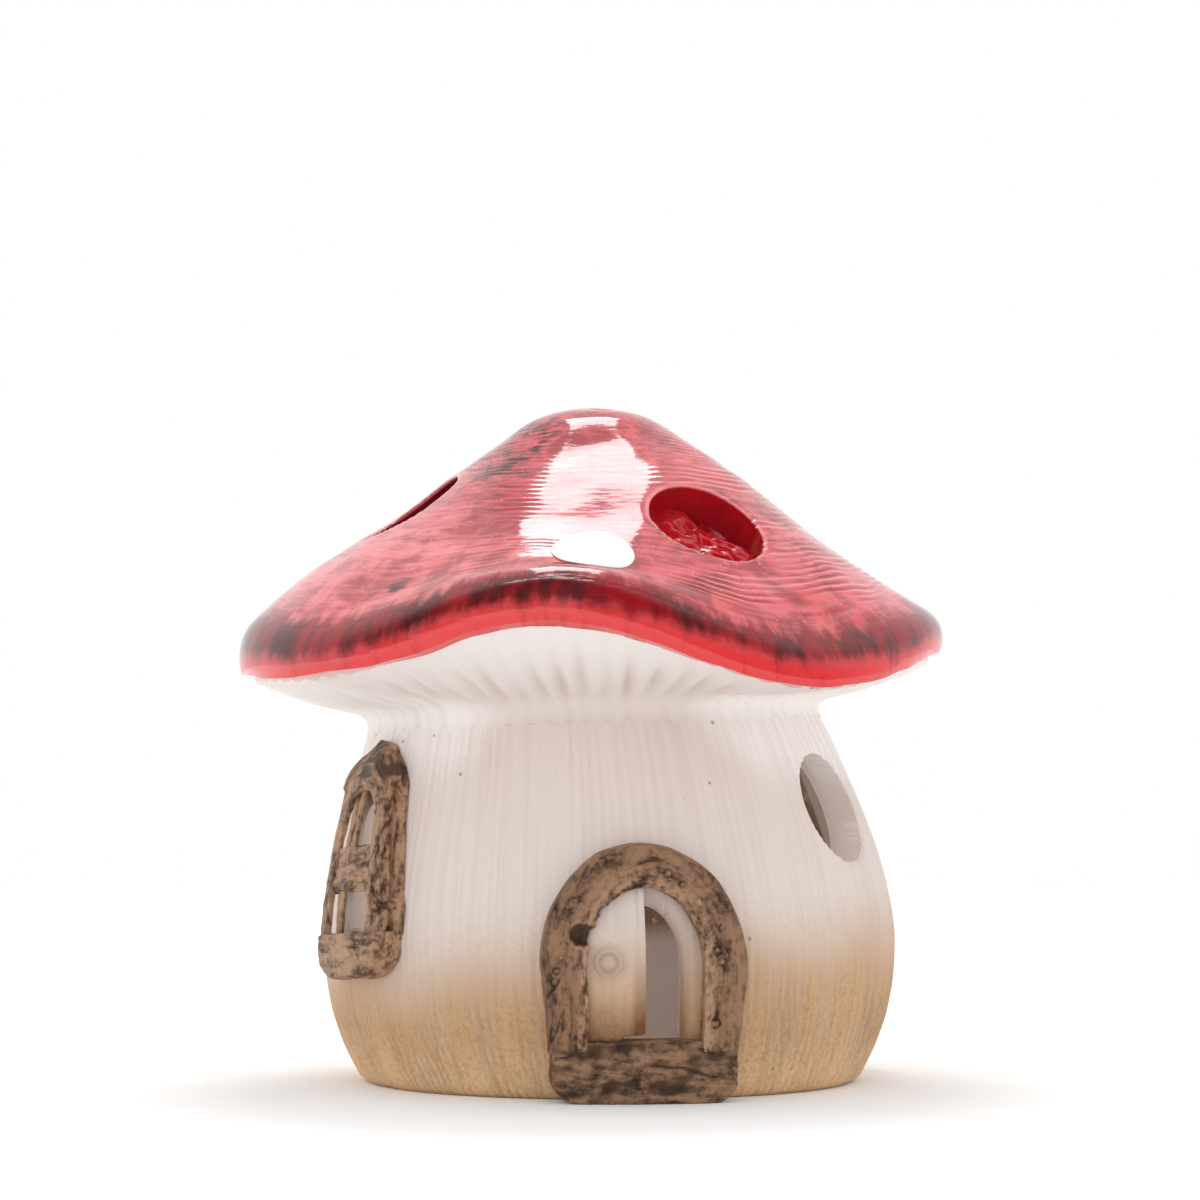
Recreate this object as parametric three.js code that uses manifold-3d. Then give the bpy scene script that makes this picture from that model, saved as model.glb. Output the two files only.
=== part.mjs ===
// Toadstool house ornament: a hand-built ceramic house with a round stem wall and a wavy cap.
// The clay pieces are made apart, then luted together with slip and fired, so nothing moves.
// Millimetres, +Z up. The door faces -Y, and bearings are degrees from the front, + to the right.

import * as THREE from "three";
import { mergeVertices } from "three/addons/utils/BufferGeometryUtils.js";
import Module from "manifold-3d";

const wasm = await Module();
wasm.setup();

// Driving dimensions

const SLIP_GAP = 0.3; // line of slip between two luted pieces

const STEM_HEIGHT = 51.4; // table to neck
const STEM_FOOT_RADIUS = 34.7;
const STEM_BELLY_RADIUS = 40.3;
const STEM_BELLY_HEIGHT = 20.5;
const STEM_NECK_RADIUS = 31.6;
const STEM_WALL = 5;
const STEM_TUCK_POWER = 2.4; // how late the wall tucks in below its belly
const STEM_SHOULDER_POWER = 1.5; // how early it draws in above its belly
const LEAN_AT_FOOT = 2.7; // the foot stands this far to the right of the cap
const LEAN_HEIGHT = 57; // height at which the lean has died out
const LEAN_POWER = 3; // how late it dies out

const CAP_RADIUS = 50;
const CAP_RISE = 43.9; // neck to apex
const CAP_WALL = 5.5;
const CAP_APEX_ROUNDING = 10; // how broad the rounded tip is
const RIM_RISE = 7.8; // neck to the middle of the rolled rim
const RIM_ROLL_RADIUS = 5;
const RIM_TURN_UNDER = 24; // degrees that the roll goes on below its widest line
const RIM_LIP = 2.2; // width of the lip that hides the gill plate's edge
const RIM_WAVES = [
  { count: 1, height: 0.9, peak: 117 },
  { count: 2, height: 1, peak: -29 },
  { count: 3, height: 1, peak: -24.5 },
  { count: 4, height: 2.45, peak: -6 },
  { count: 5, height: 0.35, peak: -2.5 },
  { count: 6, height: 0.6, peak: -3.5 },
];
const RIM_WAVE_EASE = 1.3; // how slowly the waves grow from the neck outwards

const CAP_HOLE_DIAMETER = 16.4;
const CAP_HOLES = [
  { bearing: -72, fromRim: 23 },
  { bearing: 30, fromRim: 18.4 },
];
const CAP_SPOT_DIAMETER = 10.2;
const CAP_SPOT_RAISE = 0.9;
const CAP_SPOT = { bearing: 0.5, fromRim: 10.4 };
const HALF_TURN = 180; // the back of the cap repeats its front

const GILL_COUNT = 78;
const GILL_DEPTH = 0.8;
const GILL_PLATE_THICKNESS = 4;
const COLLAR_WALL = 3; // collar under the gill plate that centres it in the neck
const COLLAR_DEPTH = 3;

const DOOR_BEARING = 6;
const DOOR_WIDTH = 15; // clear width between the jambs
const DOOR_SPRINGING = 17.6; // where the jambs turn into the arch
const DOOR_ARCH_RISE = 9.9; // springing to the top of the clear opening
const DOOR_BAND = 5.8;
const DOOR_BAND_THICKNESS = 3.2;
const DOOR_LIP = 2.3; // wall left showing inside the surround
const THRESHOLD_WIDTH = 24.4;
const THRESHOLD_HEIGHT = 8;
const THRESHOLD_THICKNESS = 2.4; // from the wall to its face, at its top
const LEAF_THICKNESS = 1.6;
const LEAF_EDGE = 0; // free edge of the leaf, counted from the door's middle
const BOSS_RADIUS = 1.8;
const BOSS_RAISE = 1;
const BOSS_FROM_EDGE = 4.8;
const BOSS_HEIGHT = 18;

const WINDOWS = [
  { side: "left", bearing: -56.5 },
  { side: "rear", bearing: 122 },
];
const WINDOW_WIDTH = 14; // at the transom's top
const WINDOW_FLARE = 12.5; // degrees that the right jamb leans out towards its foot
const WINDOW_JAMB = 2.4;
const WINDOW_THICKNESS = 3.3;
const WINDOW_BELOW_NECK = 4.2; // neck to the tip of the head
const WINDOW_HEAD_HEIGHT = 6.9;
const WINDOW_GABLE = 5; // tip to the shoulders of the pointed head
const WINDOW_GABLE_BOW = 0.8; // how far its two slopes bow outwards
const WINDOW_UPPER_PANE = 7.4;
const WINDOW_LOWER_PANE = 5.7;
const WINDOW_PANE_ARCH = 4.2; // rise of the arch over the upper panes
const WINDOW_LIP = 0.8; // wall left showing round the panes, which carries the bars
const TRANSOM_HEIGHT = 6.1;
const BAR_THICKNESS = 2.6;
const MULLION_SHIFT = -1; // the mullion stands off the middle
const UPPER_MULLION_WIDTH = 2.8;
const LOWER_MULLION_WIDTH = 2;
const SILL_HEIGHT = 5.9;
const SILL_HORN = 0.6; // how far the sill passes the jambs
const SILL_THICKNESS = 3.8;

const PORTHOLE_DIAMETER = 14.8;
const PORTHOLE_BEARING = 59.5;
const PORTHOLE_BELOW_NECK = 13.4;

// Facets

const WALL_SEGMENTS = 60;
const GILL_SEGMENTS = 3 * GILL_COUNT;
const HOLE_SEGMENTS = 24;
const ARCH_SEGMENTS = 8;
const BUTTON_SEGMENTS = 16;
const BUTTON_RINGS = 12;
const STEM_ROWS = 8;
const CONE_ROWS = 9;
const ROLL_ROWS = 5;
const DOME_ROWS = 6;
const PLATE_ROWS = 4;
const CUT_MARGIN = 6; // how far a cutting tool passes the clay on each side

// Heights and radii that follow

const wallBore = STEM_NECK_RADIUS - STEM_WALL;
const capTop = STEM_HEIGHT + CAP_RISE;
const rimHeight = STEM_HEIGHT + RIM_RISE;
const rimCentre = CAP_RADIUS - RIM_ROLL_RADIUS;
const turnUnder = THREE.MathUtils.degToRad(RIM_TURN_UNDER);
const lipRadius = rimCentre + RIM_ROLL_RADIUS * Math.cos(turnUnder);
const lipHeight = rimHeight - RIM_ROLL_RADIUS * Math.sin(turnUnder);
const plateRadius = lipRadius - RIM_LIP;
const plateBottom = STEM_HEIGHT + SLIP_GAP;
const plateSlope = (lipHeight - plateBottom) / (plateRadius - STEM_NECK_RADIUS);
const capSlope = slopeTouchingRim();

// The cone's slope at which it runs smoothly into the rolled rim
function slopeTouchingRim() {
  const drop = capTop - rimHeight;
  const run = Math.hypot(rimCentre, CAP_APEX_ROUNDING) - CAP_APEX_ROUNDING;
  const spread = run ** 2 - RIM_ROLL_RADIUS ** 2;
  const root = Math.sqrt((drop * run) ** 2 - spread * (drop ** 2 - RIM_ROLL_RADIUS ** 2));
  return (drop * run - root) / spread;
}

function stemRadius(z) {
  if (z < STEM_BELLY_HEIGHT) {
    const down = Math.min((STEM_BELLY_HEIGHT - z) / STEM_BELLY_HEIGHT, 1);
    return STEM_BELLY_RADIUS - (STEM_BELLY_RADIUS - STEM_FOOT_RADIUS) * down ** STEM_TUCK_POWER;
  }
  const up = Math.min((z - STEM_BELLY_HEIGHT) / (STEM_HEIGHT - STEM_BELLY_HEIGHT), 1);
  return STEM_BELLY_RADIUS - (STEM_BELLY_RADIUS - STEM_NECK_RADIUS) * up ** STEM_SHOULDER_POWER;
}

function capHeight(radius) {
  return capTop - capSlope * (Math.hypot(radius, CAP_APEX_ROUNDING) - CAP_APEX_ROUNDING);
}

function capTilt(radius) {
  return Math.atan((capSlope * radius) / Math.hypot(radius, CAP_APEX_ROUNDING));
}

function plateHeight(radius) {
  return plateBottom + plateSlope * (radius - STEM_NECK_RADIUS);
}

// Bearings and placing

function bearingOf(x, y) {
  return Math.atan2(x, -y);
}

function outward(bearing) {
  const angle = THREE.MathUtils.degToRad(bearing);
  return new THREE.Vector3(Math.sin(angle), -Math.cos(angle), 0);
}

// Turns a flat drawing, x along the wall and y up, to face out of the wall at a bearing
function facing(bearing) {
  const up = new THREE.Vector3(0, 0, 1);
  const out = outward(bearing);
  const along = new THREE.Vector3().crossVectors(up, out);
  return new THREE.Matrix4().makeBasis(along, up, out);
}

// How far the waves lift a point of the cap or of its gills
function waveLift(x, y) {
  const out = (Math.hypot(x, y) - STEM_NECK_RADIUS) / (CAP_RADIUS - STEM_NECK_RADIUS);
  const share = THREE.MathUtils.clamp(out, 0, 1) ** RIM_WAVE_EASE;
  const bearing = bearingOf(x, y);
  const lift = (sum, wave) =>
    sum + wave.height * Math.cos(wave.count * (bearing - THREE.MathUtils.degToRad(wave.peak)));
  return share * RIM_WAVES.reduce(lift, 0);
}

function moveVertices(geometry, move) {
  const position = geometry.getAttribute("position");
  const point = new THREE.Vector3();
  for (let index = 0; index < position.count; index += 1) {
    point.fromBufferAttribute(position, index);
    move(point);
    position.setXYZ(index, point.x, point.y, point.z);
  }
  return geometry;
}

function wave(geometry) {
  return moveVertices(geometry, (point) => {
    point.z += waveLift(point.x, point.y);
  });
}

function lean(geometry) {
  return moveVertices(geometry, (point) => {
    const height = Math.min(point.z / LEAN_HEIGHT, 1);
    point.x += LEAN_AT_FOOT * (1 - height ** LEAN_POWER);
  });
}

// Solids

function solid(geometry) {
  const bare = geometry.clone();
  bare.deleteAttribute("normal");
  bare.deleteAttribute("uv");
  const welded = mergeVertices(bare);
  const mesh = new wasm.Mesh({
    numProp: 3,
    vertProperties: new Float32Array(welded.getAttribute("position").array),
    triVerts: new Uint32Array(welded.getIndex().array),
  });
  return new wasm.Manifold(mesh);
}

function geometryOf(shape) {
  const mesh = shape.getMesh();
  const geometry = new THREE.BufferGeometry();
  const position = new THREE.Float32BufferAttribute(mesh.vertProperties, 3);
  geometry.setAttribute("position", position);
  geometry.setIndex(new THREE.Uint32BufferAttribute(mesh.triVerts, 1));
  return geometry;
}

// Spins a profile of [radius, height] points round the Z axis
function spun(profile, segments) {
  const points = profile.map(([radius, height]) => new THREE.Vector2(radius, height));
  return new THREE.LatheGeometry(points, segments).rotateX(Math.PI / 2);
}

// Even steps from one number to another, with both ends
function steps(from, to, count) {
  return Array.from({ length: count + 1 }, (_, index) => from + ((to - from) * index) / count);
}

// Everything inside the stem's outer face once that is moved out by an offset
function stemCore(offset) {
  const below = -CUT_MARGIN;
  const above = STEM_HEIGHT + CUT_MARGIN;
  const rows = [below, ...steps(0, STEM_HEIGHT, STEM_ROWS), above];
  const face = rows.map((z) => [stemRadius(z) + offset, z]);
  return solid(spun([[0, below], ...face, [0, above]], WALL_SEGMENTS));
}

// A flat drawing pushed through the wall at a bearing
function wallCutter(drawing, bearing) {
  const inner = wallBore - CUT_MARGIN;
  const depth = STEM_BELLY_RADIUS + CUT_MARGIN - inner;
  const options = { depth, bevelEnabled: false, curveSegments: ARCH_SEGMENTS };
  const geometry = new THREE.ExtrudeGeometry(drawing, options).translate(0, 0, inner);
  return solid(geometry.applyMatrix4(facing(bearing)));
}

// A drawing cut from a sheet of clay that lies on the wall, a slip line away from it
function wallSheet(drawing, bearing, thickness) {
  const sheet = wallCutter(drawing, bearing).intersect(stemCore(SLIP_GAP + thickness));
  return sheet.subtract(stemCore(SLIP_GAP));
}

// A round tool that stands on the cap at a bearing and a distance in from the rim
function capTool({ bearing, fromRim }, diameter) {
  const radius = CAP_RADIUS - fromRim;
  const spot = outward(bearing).multiplyScalar(radius);
  spot.z = capHeight(radius) + waveLift(spot.x, spot.y);
  const tilt = capTilt(radius);
  const normal = outward(bearing).multiplyScalar(Math.sin(tilt));
  normal.z = Math.cos(tilt);
  const length = 2 * (CAP_WALL + CUT_MARGIN);
  const tool = new THREE.CylinderGeometry(diameter / 2, diameter / 2, length, HOLE_SEGMENTS);
  const turn = new THREE.Quaternion().setFromUnitVectors(new THREE.Vector3(0, 1, 0), normal);
  return solid(tool.applyQuaternion(turn).translate(spot.x, spot.y, spot.z));
}

function onBack(place) {
  return { ...place, bearing: place.bearing + HALF_TURN };
}

// Drawings

function rectangle(left, right, bottom, top) {
  const drawing = new THREE.Shape();
  drawing.moveTo(left, bottom);
  drawing.lineTo(right, bottom);
  drawing.lineTo(right, top);
  drawing.lineTo(left, top);
  drawing.closePath();
  return drawing;
}

function arch(halfWidth, bottom, springing, rise) {
  const drawing = new THREE.Shape();
  drawing.moveTo(-halfWidth, bottom);
  drawing.lineTo(halfWidth, bottom);
  drawing.lineTo(halfWidth, springing);
  drawing.absellipse(0, springing, halfWidth, rise, 0, Math.PI, false, 0);
  drawing.closePath();
  return drawing;
}

// A straight frame under a pointed head with bowed slopes
function gable(halfWidth, bottom, shoulder, tip, bow) {
  const bowAlong = halfWidth / 2 + bow;
  const bowHeight = (shoulder + tip) / 2 + bow;
  const drawing = new THREE.Shape();
  drawing.moveTo(-halfWidth, bottom);
  drawing.lineTo(halfWidth, bottom);
  drawing.lineTo(halfWidth, shoulder);
  drawing.quadraticCurveTo(bowAlong, bowHeight, 0, tip);
  drawing.quadraticCurveTo(-bowAlong, bowHeight, -halfWidth, shoulder);
  drawing.closePath();
  return drawing;
}

// Stem

function doorway() {
  const half = DOOR_WIDTH / 2 - DOOR_LIP;
  return wallCutter(arch(half, THRESHOLD_HEIGHT, DOOR_SPRINGING, DOOR_ARCH_RISE - DOOR_LIP), DOOR_BEARING);
}

function porthole() {
  const centre = new THREE.Shape();
  centre.absarc(0, STEM_HEIGHT - PORTHOLE_BELOW_NECK, PORTHOLE_DIAMETER / 2, 0, 2 * Math.PI);
  return wallCutter(centre, PORTHOLE_BEARING);
}

function stemWall() {
  const rows = steps(0, STEM_HEIGHT, STEM_ROWS);
  const outer = rows.map((z) => [stemRadius(z), z]);
  const inner = rows.map((z) => [stemRadius(z) - STEM_WALL, z]).reverse();
  let wall = solid(spun([...outer, ...inner, outer[0]], WALL_SEGMENTS));
  wall = wall.subtract(doorway()).subtract(porthole());
  for (const { bearing } of WINDOWS) {
    wall = wall.subtract(windowCutter(paneArch(WINDOW_LIP), bearing));
  }
  return wall;
}

// Cap and gills

// The underside is scalloped between the gills, and smooth at its two ends
function gillLift(point) {
  const radius = Math.hypot(point.x, point.y);
  const along = (radius - STEM_NECK_RADIUS) / (plateRadius - STEM_NECK_RADIUS);
  const atUnderside = Math.abs(point.z - plateHeight(radius)) < SLIP_GAP / 2;
  if (!atUnderside || along < 0 || along > 1) return 0;
  const groove = (1 - Math.cos(GILL_COUNT * bearingOf(point.x, point.y))) / 2;
  return GILL_DEPTH * groove * Math.sin(Math.PI * along);
}

function gillPlate() {
  const collarOuter = wallBore - SLIP_GAP;
  const collarInner = collarOuter - COLLAR_WALL;
  const collarBottom = STEM_HEIGHT - COLLAR_DEPTH;
  const underside = steps(STEM_NECK_RADIUS, plateRadius, PLATE_ROWS).map((r) => [r, plateHeight(r)]);
  const top = plateTop(collarInner, plateRadius, 0).reverse();
  const start = [collarInner, collarBottom];
  const collar = [start, [collarOuter, collarBottom], [collarOuter, plateBottom]];
  const plate = spun([...collar, ...underside, ...top, start], GILL_SEGMENTS);
  moveVertices(plate, (point) => {
    point.z += gillLift(point);
  });
  return solid(wave(plate));
}

// Upper face of the gill plate, or of the room that the cap leaves for it
function plateTop(from, to, clearance) {
  const inner = [[from, plateHeight(from) + GILL_PLATE_THICKNESS + clearance]];
  const flared = steps(STEM_NECK_RADIUS, to, PLATE_ROWS);
  return [...inner, ...flared.map((r) => [r, plateHeight(r) + GILL_PLATE_THICKNESS + clearance])];
}

function capBlock() {
  const cone = steps(0, rimCentre, CONE_ROWS).map((r) => [r, capHeight(r)]);
  const start = Math.PI / 2 - capTilt(rimCentre);
  const roll = steps(start, -turnUnder, ROLL_ROWS).map((angle) => [
    rimCentre + RIM_ROLL_RADIUS * Math.cos(angle),
    rimHeight + RIM_ROLL_RADIUS * Math.sin(angle),
  ]);
  const crown = cone.filter(([r]) => r < roll[0][0]);
  return solid(wave(spun([...crown, ...roll, [0, lipHeight]].reverse(), WALL_SEGMENTS)));
}

function capRoom() {
  const dome = steps(0, rimCentre, DOME_ROWS).map((r) => [r, capHeight(r) - CAP_WALL / Math.cos(capTilt(r))]);
  const floor = STEM_HEIGHT - CUT_MARGIN;
  return solid(wave(spun([...dome, [rimCentre, floor], [0, floor]].reverse(), WALL_SEGMENTS)));
}

function plateRoom() {
  const edge = plateRadius + SLIP_GAP;
  const floor = STEM_HEIGHT - CUT_MARGIN;
  const top = plateTop(0, edge, SLIP_GAP);
  return solid(wave(spun([...top, [edge, floor], [0, floor]].reverse(), WALL_SEGMENTS)));
}

function capShell() {
  let shell = capBlock().subtract(capRoom()).subtract(plateRoom());
  for (const hole of [...CAP_HOLES, ...CAP_HOLES.map(onBack)]) {
    shell = shell.subtract(capTool(hole, CAP_HOLE_DIAMETER));
  }
  return shell;
}

// A round drop of thick glaze that follows the cap's face
function capSpot(place) {
  const upright = 1 / Math.cos(capTilt(CAP_RADIUS - place.fromRim));
  const bed = capBlock().translate([0, 0, SLIP_GAP * upright]);
  const face = capBlock().translate([0, 0, (SLIP_GAP + CAP_SPOT_RAISE) * upright]);
  return capTool(place, CAP_SPOT_DIAMETER).intersect(face).subtract(bed);
}

// Door

function doorSurround() {
  const half = DOOR_WIDTH / 2;
  const foot = THRESHOLD_HEIGHT + SLIP_GAP;
  const outer = arch(half + DOOR_BAND, foot, DOOR_SPRINGING, DOOR_ARCH_RISE + DOOR_BAND);
  const inner = arch(half, 0, DOOR_SPRINGING, DOOR_ARCH_RISE);
  const band = wallSheet(outer, DOOR_BEARING, DOOR_BAND_THICKNESS);
  return band.subtract(wallCutter(inner, DOOR_BEARING));
}

// A beam on the table that fills the hollow under the belly, with an upright face
function doorThreshold() {
  const half = THRESHOLD_WIDTH / 2;
  const beam = wallCutter(rectangle(-half, half, 0, THRESHOLD_HEIGHT), DOOR_BEARING);
  const reach = stemRadius(THRESHOLD_HEIGHT) + SLIP_GAP + THRESHOLD_THICKNESS;
  const height = 2 * (THRESHOLD_HEIGHT + CUT_MARGIN);
  const drum = new THREE.CylinderGeometry(reach, reach, height, WALL_SEGMENTS);
  return beam.intersect(solid(drum.rotateX(Math.PI / 2))).subtract(stemCore(SLIP_GAP));
}

function doorLeaf() {
  const half = DOOR_WIDTH / 2 - SLIP_GAP;
  const foot = THRESHOLD_HEIGHT + SLIP_GAP;
  const outline = arch(half, foot, DOOR_SPRINGING, DOOR_ARCH_RISE - SLIP_GAP);
  const whole = wallSheet(outline, DOOR_BEARING, LEAF_THICKNESS);
  const hungPart = rectangle(-DOOR_WIDTH, LEAF_EDGE, 0, STEM_HEIGHT);
  return whole.intersect(wallCutter(hungPart, DOOR_BEARING));
}

// A low round button on the leaf
function doorBoss() {
  const face = SLIP_GAP + LEAF_THICKNESS + SLIP_GAP;
  const along = LEAF_EDGE - BOSS_FROM_EDGE;
  const out = Math.sqrt((stemRadius(BOSS_HEIGHT) + face) ** 2 - along ** 2);
  const button = new THREE.SphereGeometry(BOSS_RADIUS, BUTTON_SEGMENTS, BUTTON_RINGS);
  button.scale(1, 1, BOSS_RAISE / BOSS_RADIUS).translate(along, BOSS_HEIGHT, out);
  return solid(button.applyMatrix4(facing(DOOR_BEARING))).subtract(stemCore(face));
}

// Windows, hung from the neck down

const windowTip = STEM_HEIGHT - WINDOW_BELOW_NECK;
const paneTop = windowTip - WINDOW_HEAD_HEIGHT;
const transomTop = paneTop - WINDOW_UPPER_PANE;
const transomBottom = transomTop - TRANSOM_HEIGHT;
const sillTop = transomBottom - WINDOW_LOWER_PANE;
const paneHalfWidth = WINDOW_WIDTH / 2 - WINDOW_JAMB;

// Leans the right side of a window's drawing out, with its plain width at the transom's top
function flared(drawing) {
  const lean = Math.tan(THREE.MathUtils.degToRad(WINDOW_FLARE));
  const points = drawing.getPoints(ARCH_SEGMENTS).map(({ x, y }) => {
    const share = Math.max(x, 0) / (WINDOW_WIDTH / 2);
    return new THREE.Vector2(x + share * lean * (transomTop - y), y);
  });
  return new THREE.Shape(points);
}

function windowCutter(drawing, bearing) {
  return wallCutter(flared(drawing), bearing);
}

function windowSheet(drawing, bearing, thickness) {
  return wallSheet(flared(drawing), bearing, thickness);
}

// Outline of the opening inside the surround, drawn in by an inset
function paneArch(inset) {
  const springing = paneTop - WINDOW_PANE_ARCH;
  return arch(paneHalfWidth - inset, sillTop + inset, springing, WINDOW_PANE_ARCH - inset);
}

function windowSurround(bearing) {
  const shoulder = windowTip - WINDOW_GABLE;
  const foot = sillTop + SLIP_GAP;
  const outline = gable(WINDOW_WIDTH / 2, foot, shoulder, windowTip, WINDOW_GABLE_BOW);
  const springing = paneTop - WINDOW_PANE_ARCH;
  const opening = arch(paneHalfWidth, sillTop - CUT_MARGIN, springing, WINDOW_PANE_ARCH);
  return windowSheet(outline, bearing, WINDOW_THICKNESS).subtract(windowCutter(opening, bearing));
}

function windowSill(bearing) {
  const half = WINDOW_WIDTH / 2 + SILL_HORN;
  const outline = rectangle(-half, half, sillTop - SILL_HEIGHT, sillTop);
  return windowSheet(outline, bearing, SILL_THICKNESS);
}

function windowTransom(bearing) {
  const half = paneHalfWidth - SLIP_GAP;
  return windowSheet(rectangle(-half, half, transomBottom, transomTop), bearing, BAR_THICKNESS);
}

function windowMullion(bearing, width, bottom, top) {
  const left = MULLION_SHIFT - width / 2;
  const bar = windowSheet(rectangle(left, left + width, bottom, top), bearing, BAR_THICKNESS);
  return bar.intersect(windowCutter(paneArch(SLIP_GAP), bearing));
}

// Finishes

const finishes = {
  redGlaze: new THREE.MeshStandardMaterial({ color: 0xb4202c, roughness: 0.12, metalness: 0 }),
  whiteGlaze: new THREE.MeshStandardMaterial({ color: 0xf7f4f0, roughness: 0.15, metalness: 0 }),
  creamClay: new THREE.MeshStandardMaterial({ color: 0xdccfc6, roughness: 0.75, metalness: 0 }),
  stainedClay: new THREE.MeshStandardMaterial({ color: 0x7f6250, roughness: 0.6, metalness: 0 }),
};

// Assembly

const ornament = new THREE.Group();

function addPiece(name, shape, material) {
  const mesh = new THREE.Mesh(lean(geometryOf(shape)), material);
  mesh.name = name;
  ornament.add(mesh);
}

addPiece("stem_wall", stemWall(), finishes.creamClay);
addPiece("gill_plate", gillPlate(), finishes.creamClay);
addPiece("cap_shell", capShell(), finishes.redGlaze);
addPiece("cap_spot_front", capSpot(CAP_SPOT), finishes.whiteGlaze);
addPiece("cap_spot_back", capSpot(onBack(CAP_SPOT)), finishes.whiteGlaze);
addPiece("door_surround", doorSurround(), finishes.stainedClay);
addPiece("door_threshold", doorThreshold(), finishes.stainedClay);
addPiece("door_leaf", doorLeaf(), finishes.creamClay);
addPiece("door_boss", doorBoss(), finishes.creamClay);
for (const { side, bearing } of WINDOWS) {
  const upper = windowMullion(bearing, UPPER_MULLION_WIDTH, transomTop + SLIP_GAP, windowTip);
  const lower = windowMullion(bearing, LOWER_MULLION_WIDTH, sillTop, transomBottom - SLIP_GAP);
  addPiece(`${side}_window_surround`, windowSurround(bearing), finishes.stainedClay);
  addPiece(`${side}_window_sill`, windowSill(bearing), finishes.stainedClay);
  addPiece(`${side}_window_transom`, windowTransom(bearing), finishes.stainedClay);
  addPiece(`${side}_window_upper_mullion`, upper, finishes.stainedClay);
  addPiece(`${side}_window_lower_mullion`, lower, finishes.stainedClay);
}

// The origin is on the table, under the middle of the whole ornament
const middle = new THREE.Box3().setFromObject(ornament).getCenter(new THREE.Vector3());
ornament.position.set(-middle.x, -middle.y, 0);

export default ornament;
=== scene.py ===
"""Toadstool house ornament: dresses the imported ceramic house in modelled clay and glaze.

Lengths are in metres. The house stands on the floor at z = 0, with its door to -Y.
Bearings go round the house in degrees, 0 at the front and positive to the viewer's right.
A piece is first shaped round the Z axis. The house's slight lean is given to it last.
"""

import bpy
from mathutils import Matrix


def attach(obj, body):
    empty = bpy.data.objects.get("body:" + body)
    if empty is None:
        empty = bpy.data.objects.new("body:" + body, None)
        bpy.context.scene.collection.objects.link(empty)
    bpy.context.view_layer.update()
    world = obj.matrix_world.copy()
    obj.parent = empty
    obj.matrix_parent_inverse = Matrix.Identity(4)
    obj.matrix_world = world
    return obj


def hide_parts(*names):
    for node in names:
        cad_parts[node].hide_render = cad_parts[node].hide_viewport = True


bl_info = {
    "name": "Toadstool House",
    "version": (1, 0, 0),
    "blender": (4, 5, 0),
    "location": "View3D > Sidebar > Toadstool",
    "description": "Models a glazed ceramic toadstool house around its packed solids",
    "category": "Add Mesh",
}

import math

import bpy
import numpy as np
from bpy.props import FloatProperty, FloatVectorProperty, IntProperty, PointerProperty
from mathutils import Vector, noise

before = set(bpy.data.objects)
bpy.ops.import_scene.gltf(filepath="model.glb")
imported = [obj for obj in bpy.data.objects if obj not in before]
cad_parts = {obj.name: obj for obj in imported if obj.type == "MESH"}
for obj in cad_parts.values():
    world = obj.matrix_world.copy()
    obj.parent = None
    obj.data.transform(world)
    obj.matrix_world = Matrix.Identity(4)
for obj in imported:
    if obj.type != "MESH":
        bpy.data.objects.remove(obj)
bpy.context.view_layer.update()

MM = 0.001

SMOOTH_ANGLE = math.radians(42)  # edges under this are shaded round
DOOR_SKIN = 0.25 * MM  # size of the faces of modelled clay
WINDOW_SKIN = 0.24 * MM
BEDDED = 0.2 * MM  # how deep a strip is pressed into the wall

# The photograph's camera
CAMERA_PLACE = (0.13 * MM, -420.54 * MM, 34.39 * MM)
CAMERA_PITCH = 4.542  # degrees above level
CAMERA_TURN = -0.153  # degrees to the left
FOCAL_PIXELS = 2947.5
PHOTO_PIXELS = 1200
SENSOR_WIDTH = 36

# Places on the house

# Waves in a turn, height, bearing of a crest
RIM_WAVES = (
    (1, 0.9 * MM, 117), (2, 1.0 * MM, -29), (3, 1.0 * MM, -24.5),
    (4, 2.45 * MM, -6), (5, 0.35 * MM, -2.5), (6, 0.6 * MM, -3.5),
)
# How much fuller the cap is than a cone: height, radius, reach, bearing, reach in degrees
CAP_FULLNESS = (
    (1.3 * MM, 21 * MM, 9 * MM, 60, 42),
    (2.5 * MM, 43 * MM, 10 * MM, -90, 38),
    (0.8 * MM, 12 * MM, 4 * MM, 0, 45),
    (0.9 * MM, 46.3 * MM, 2.2 * MM, -2, 26),
)
# Where the glaze ends lower or higher under the rim: drop, bearing, reach in degrees
LIP_RUNS = ((0.8 * MM, -27, 7), (-0.5 * MM, -46, 7), (-0.7 * MM, 34, 13), (0.5 * MM, 150, 9))
CAP_HOLES = ((-72, 23 * MM), (30, 18.4 * MM))  # bearing, distance in from the rim
CAP_SPOT = (0.5, 10.4 * MM)
BACK = 180  # the back of the cap repeats its front
WINDOW_BEARINGS = {"left": -56.5, "rear": 122}
# Along the wall from the door's middle, height and radius, in millimetres
FRAME_BLISTERS = (
    (3.2, 29.4, 0.40), (4.9, 28.0, 0.32), (7.0, 25.7, 0.42), (9.9, 22.4, 0.30), (9.2, 19.6, 0.46),
    (9.8, 18.1, 0.38), (9.0, 10.2, 0.42), (-11.4, 17.0, 0.30), (-11.7, 15.6, 0.34), (-10.9, 18.7, 0.28),
)
WINDOW_BLISTERS = ((6.4, 24.5, 0.5), (5.0, 26.4, 0.7), (6.0, 32.0, 0.4), (4.6, 37.0, 0.4), (-6.0, 30.0, 0.4))
# The same, with a reach along and up
FRAME_KNOTS = ((-8.1, 21.6, 1.9, 1.6), (-5.2, 24.6, 0.9, 0.7), (6.3, 12.5, 0.5, 0.4))


# Sizes and colours that a user would change


def length(name, description, millimetres):
    return FloatProperty(
        name=name, description=description, default=millimetres * MM, unit="LENGTH", precision=5
    )


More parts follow.
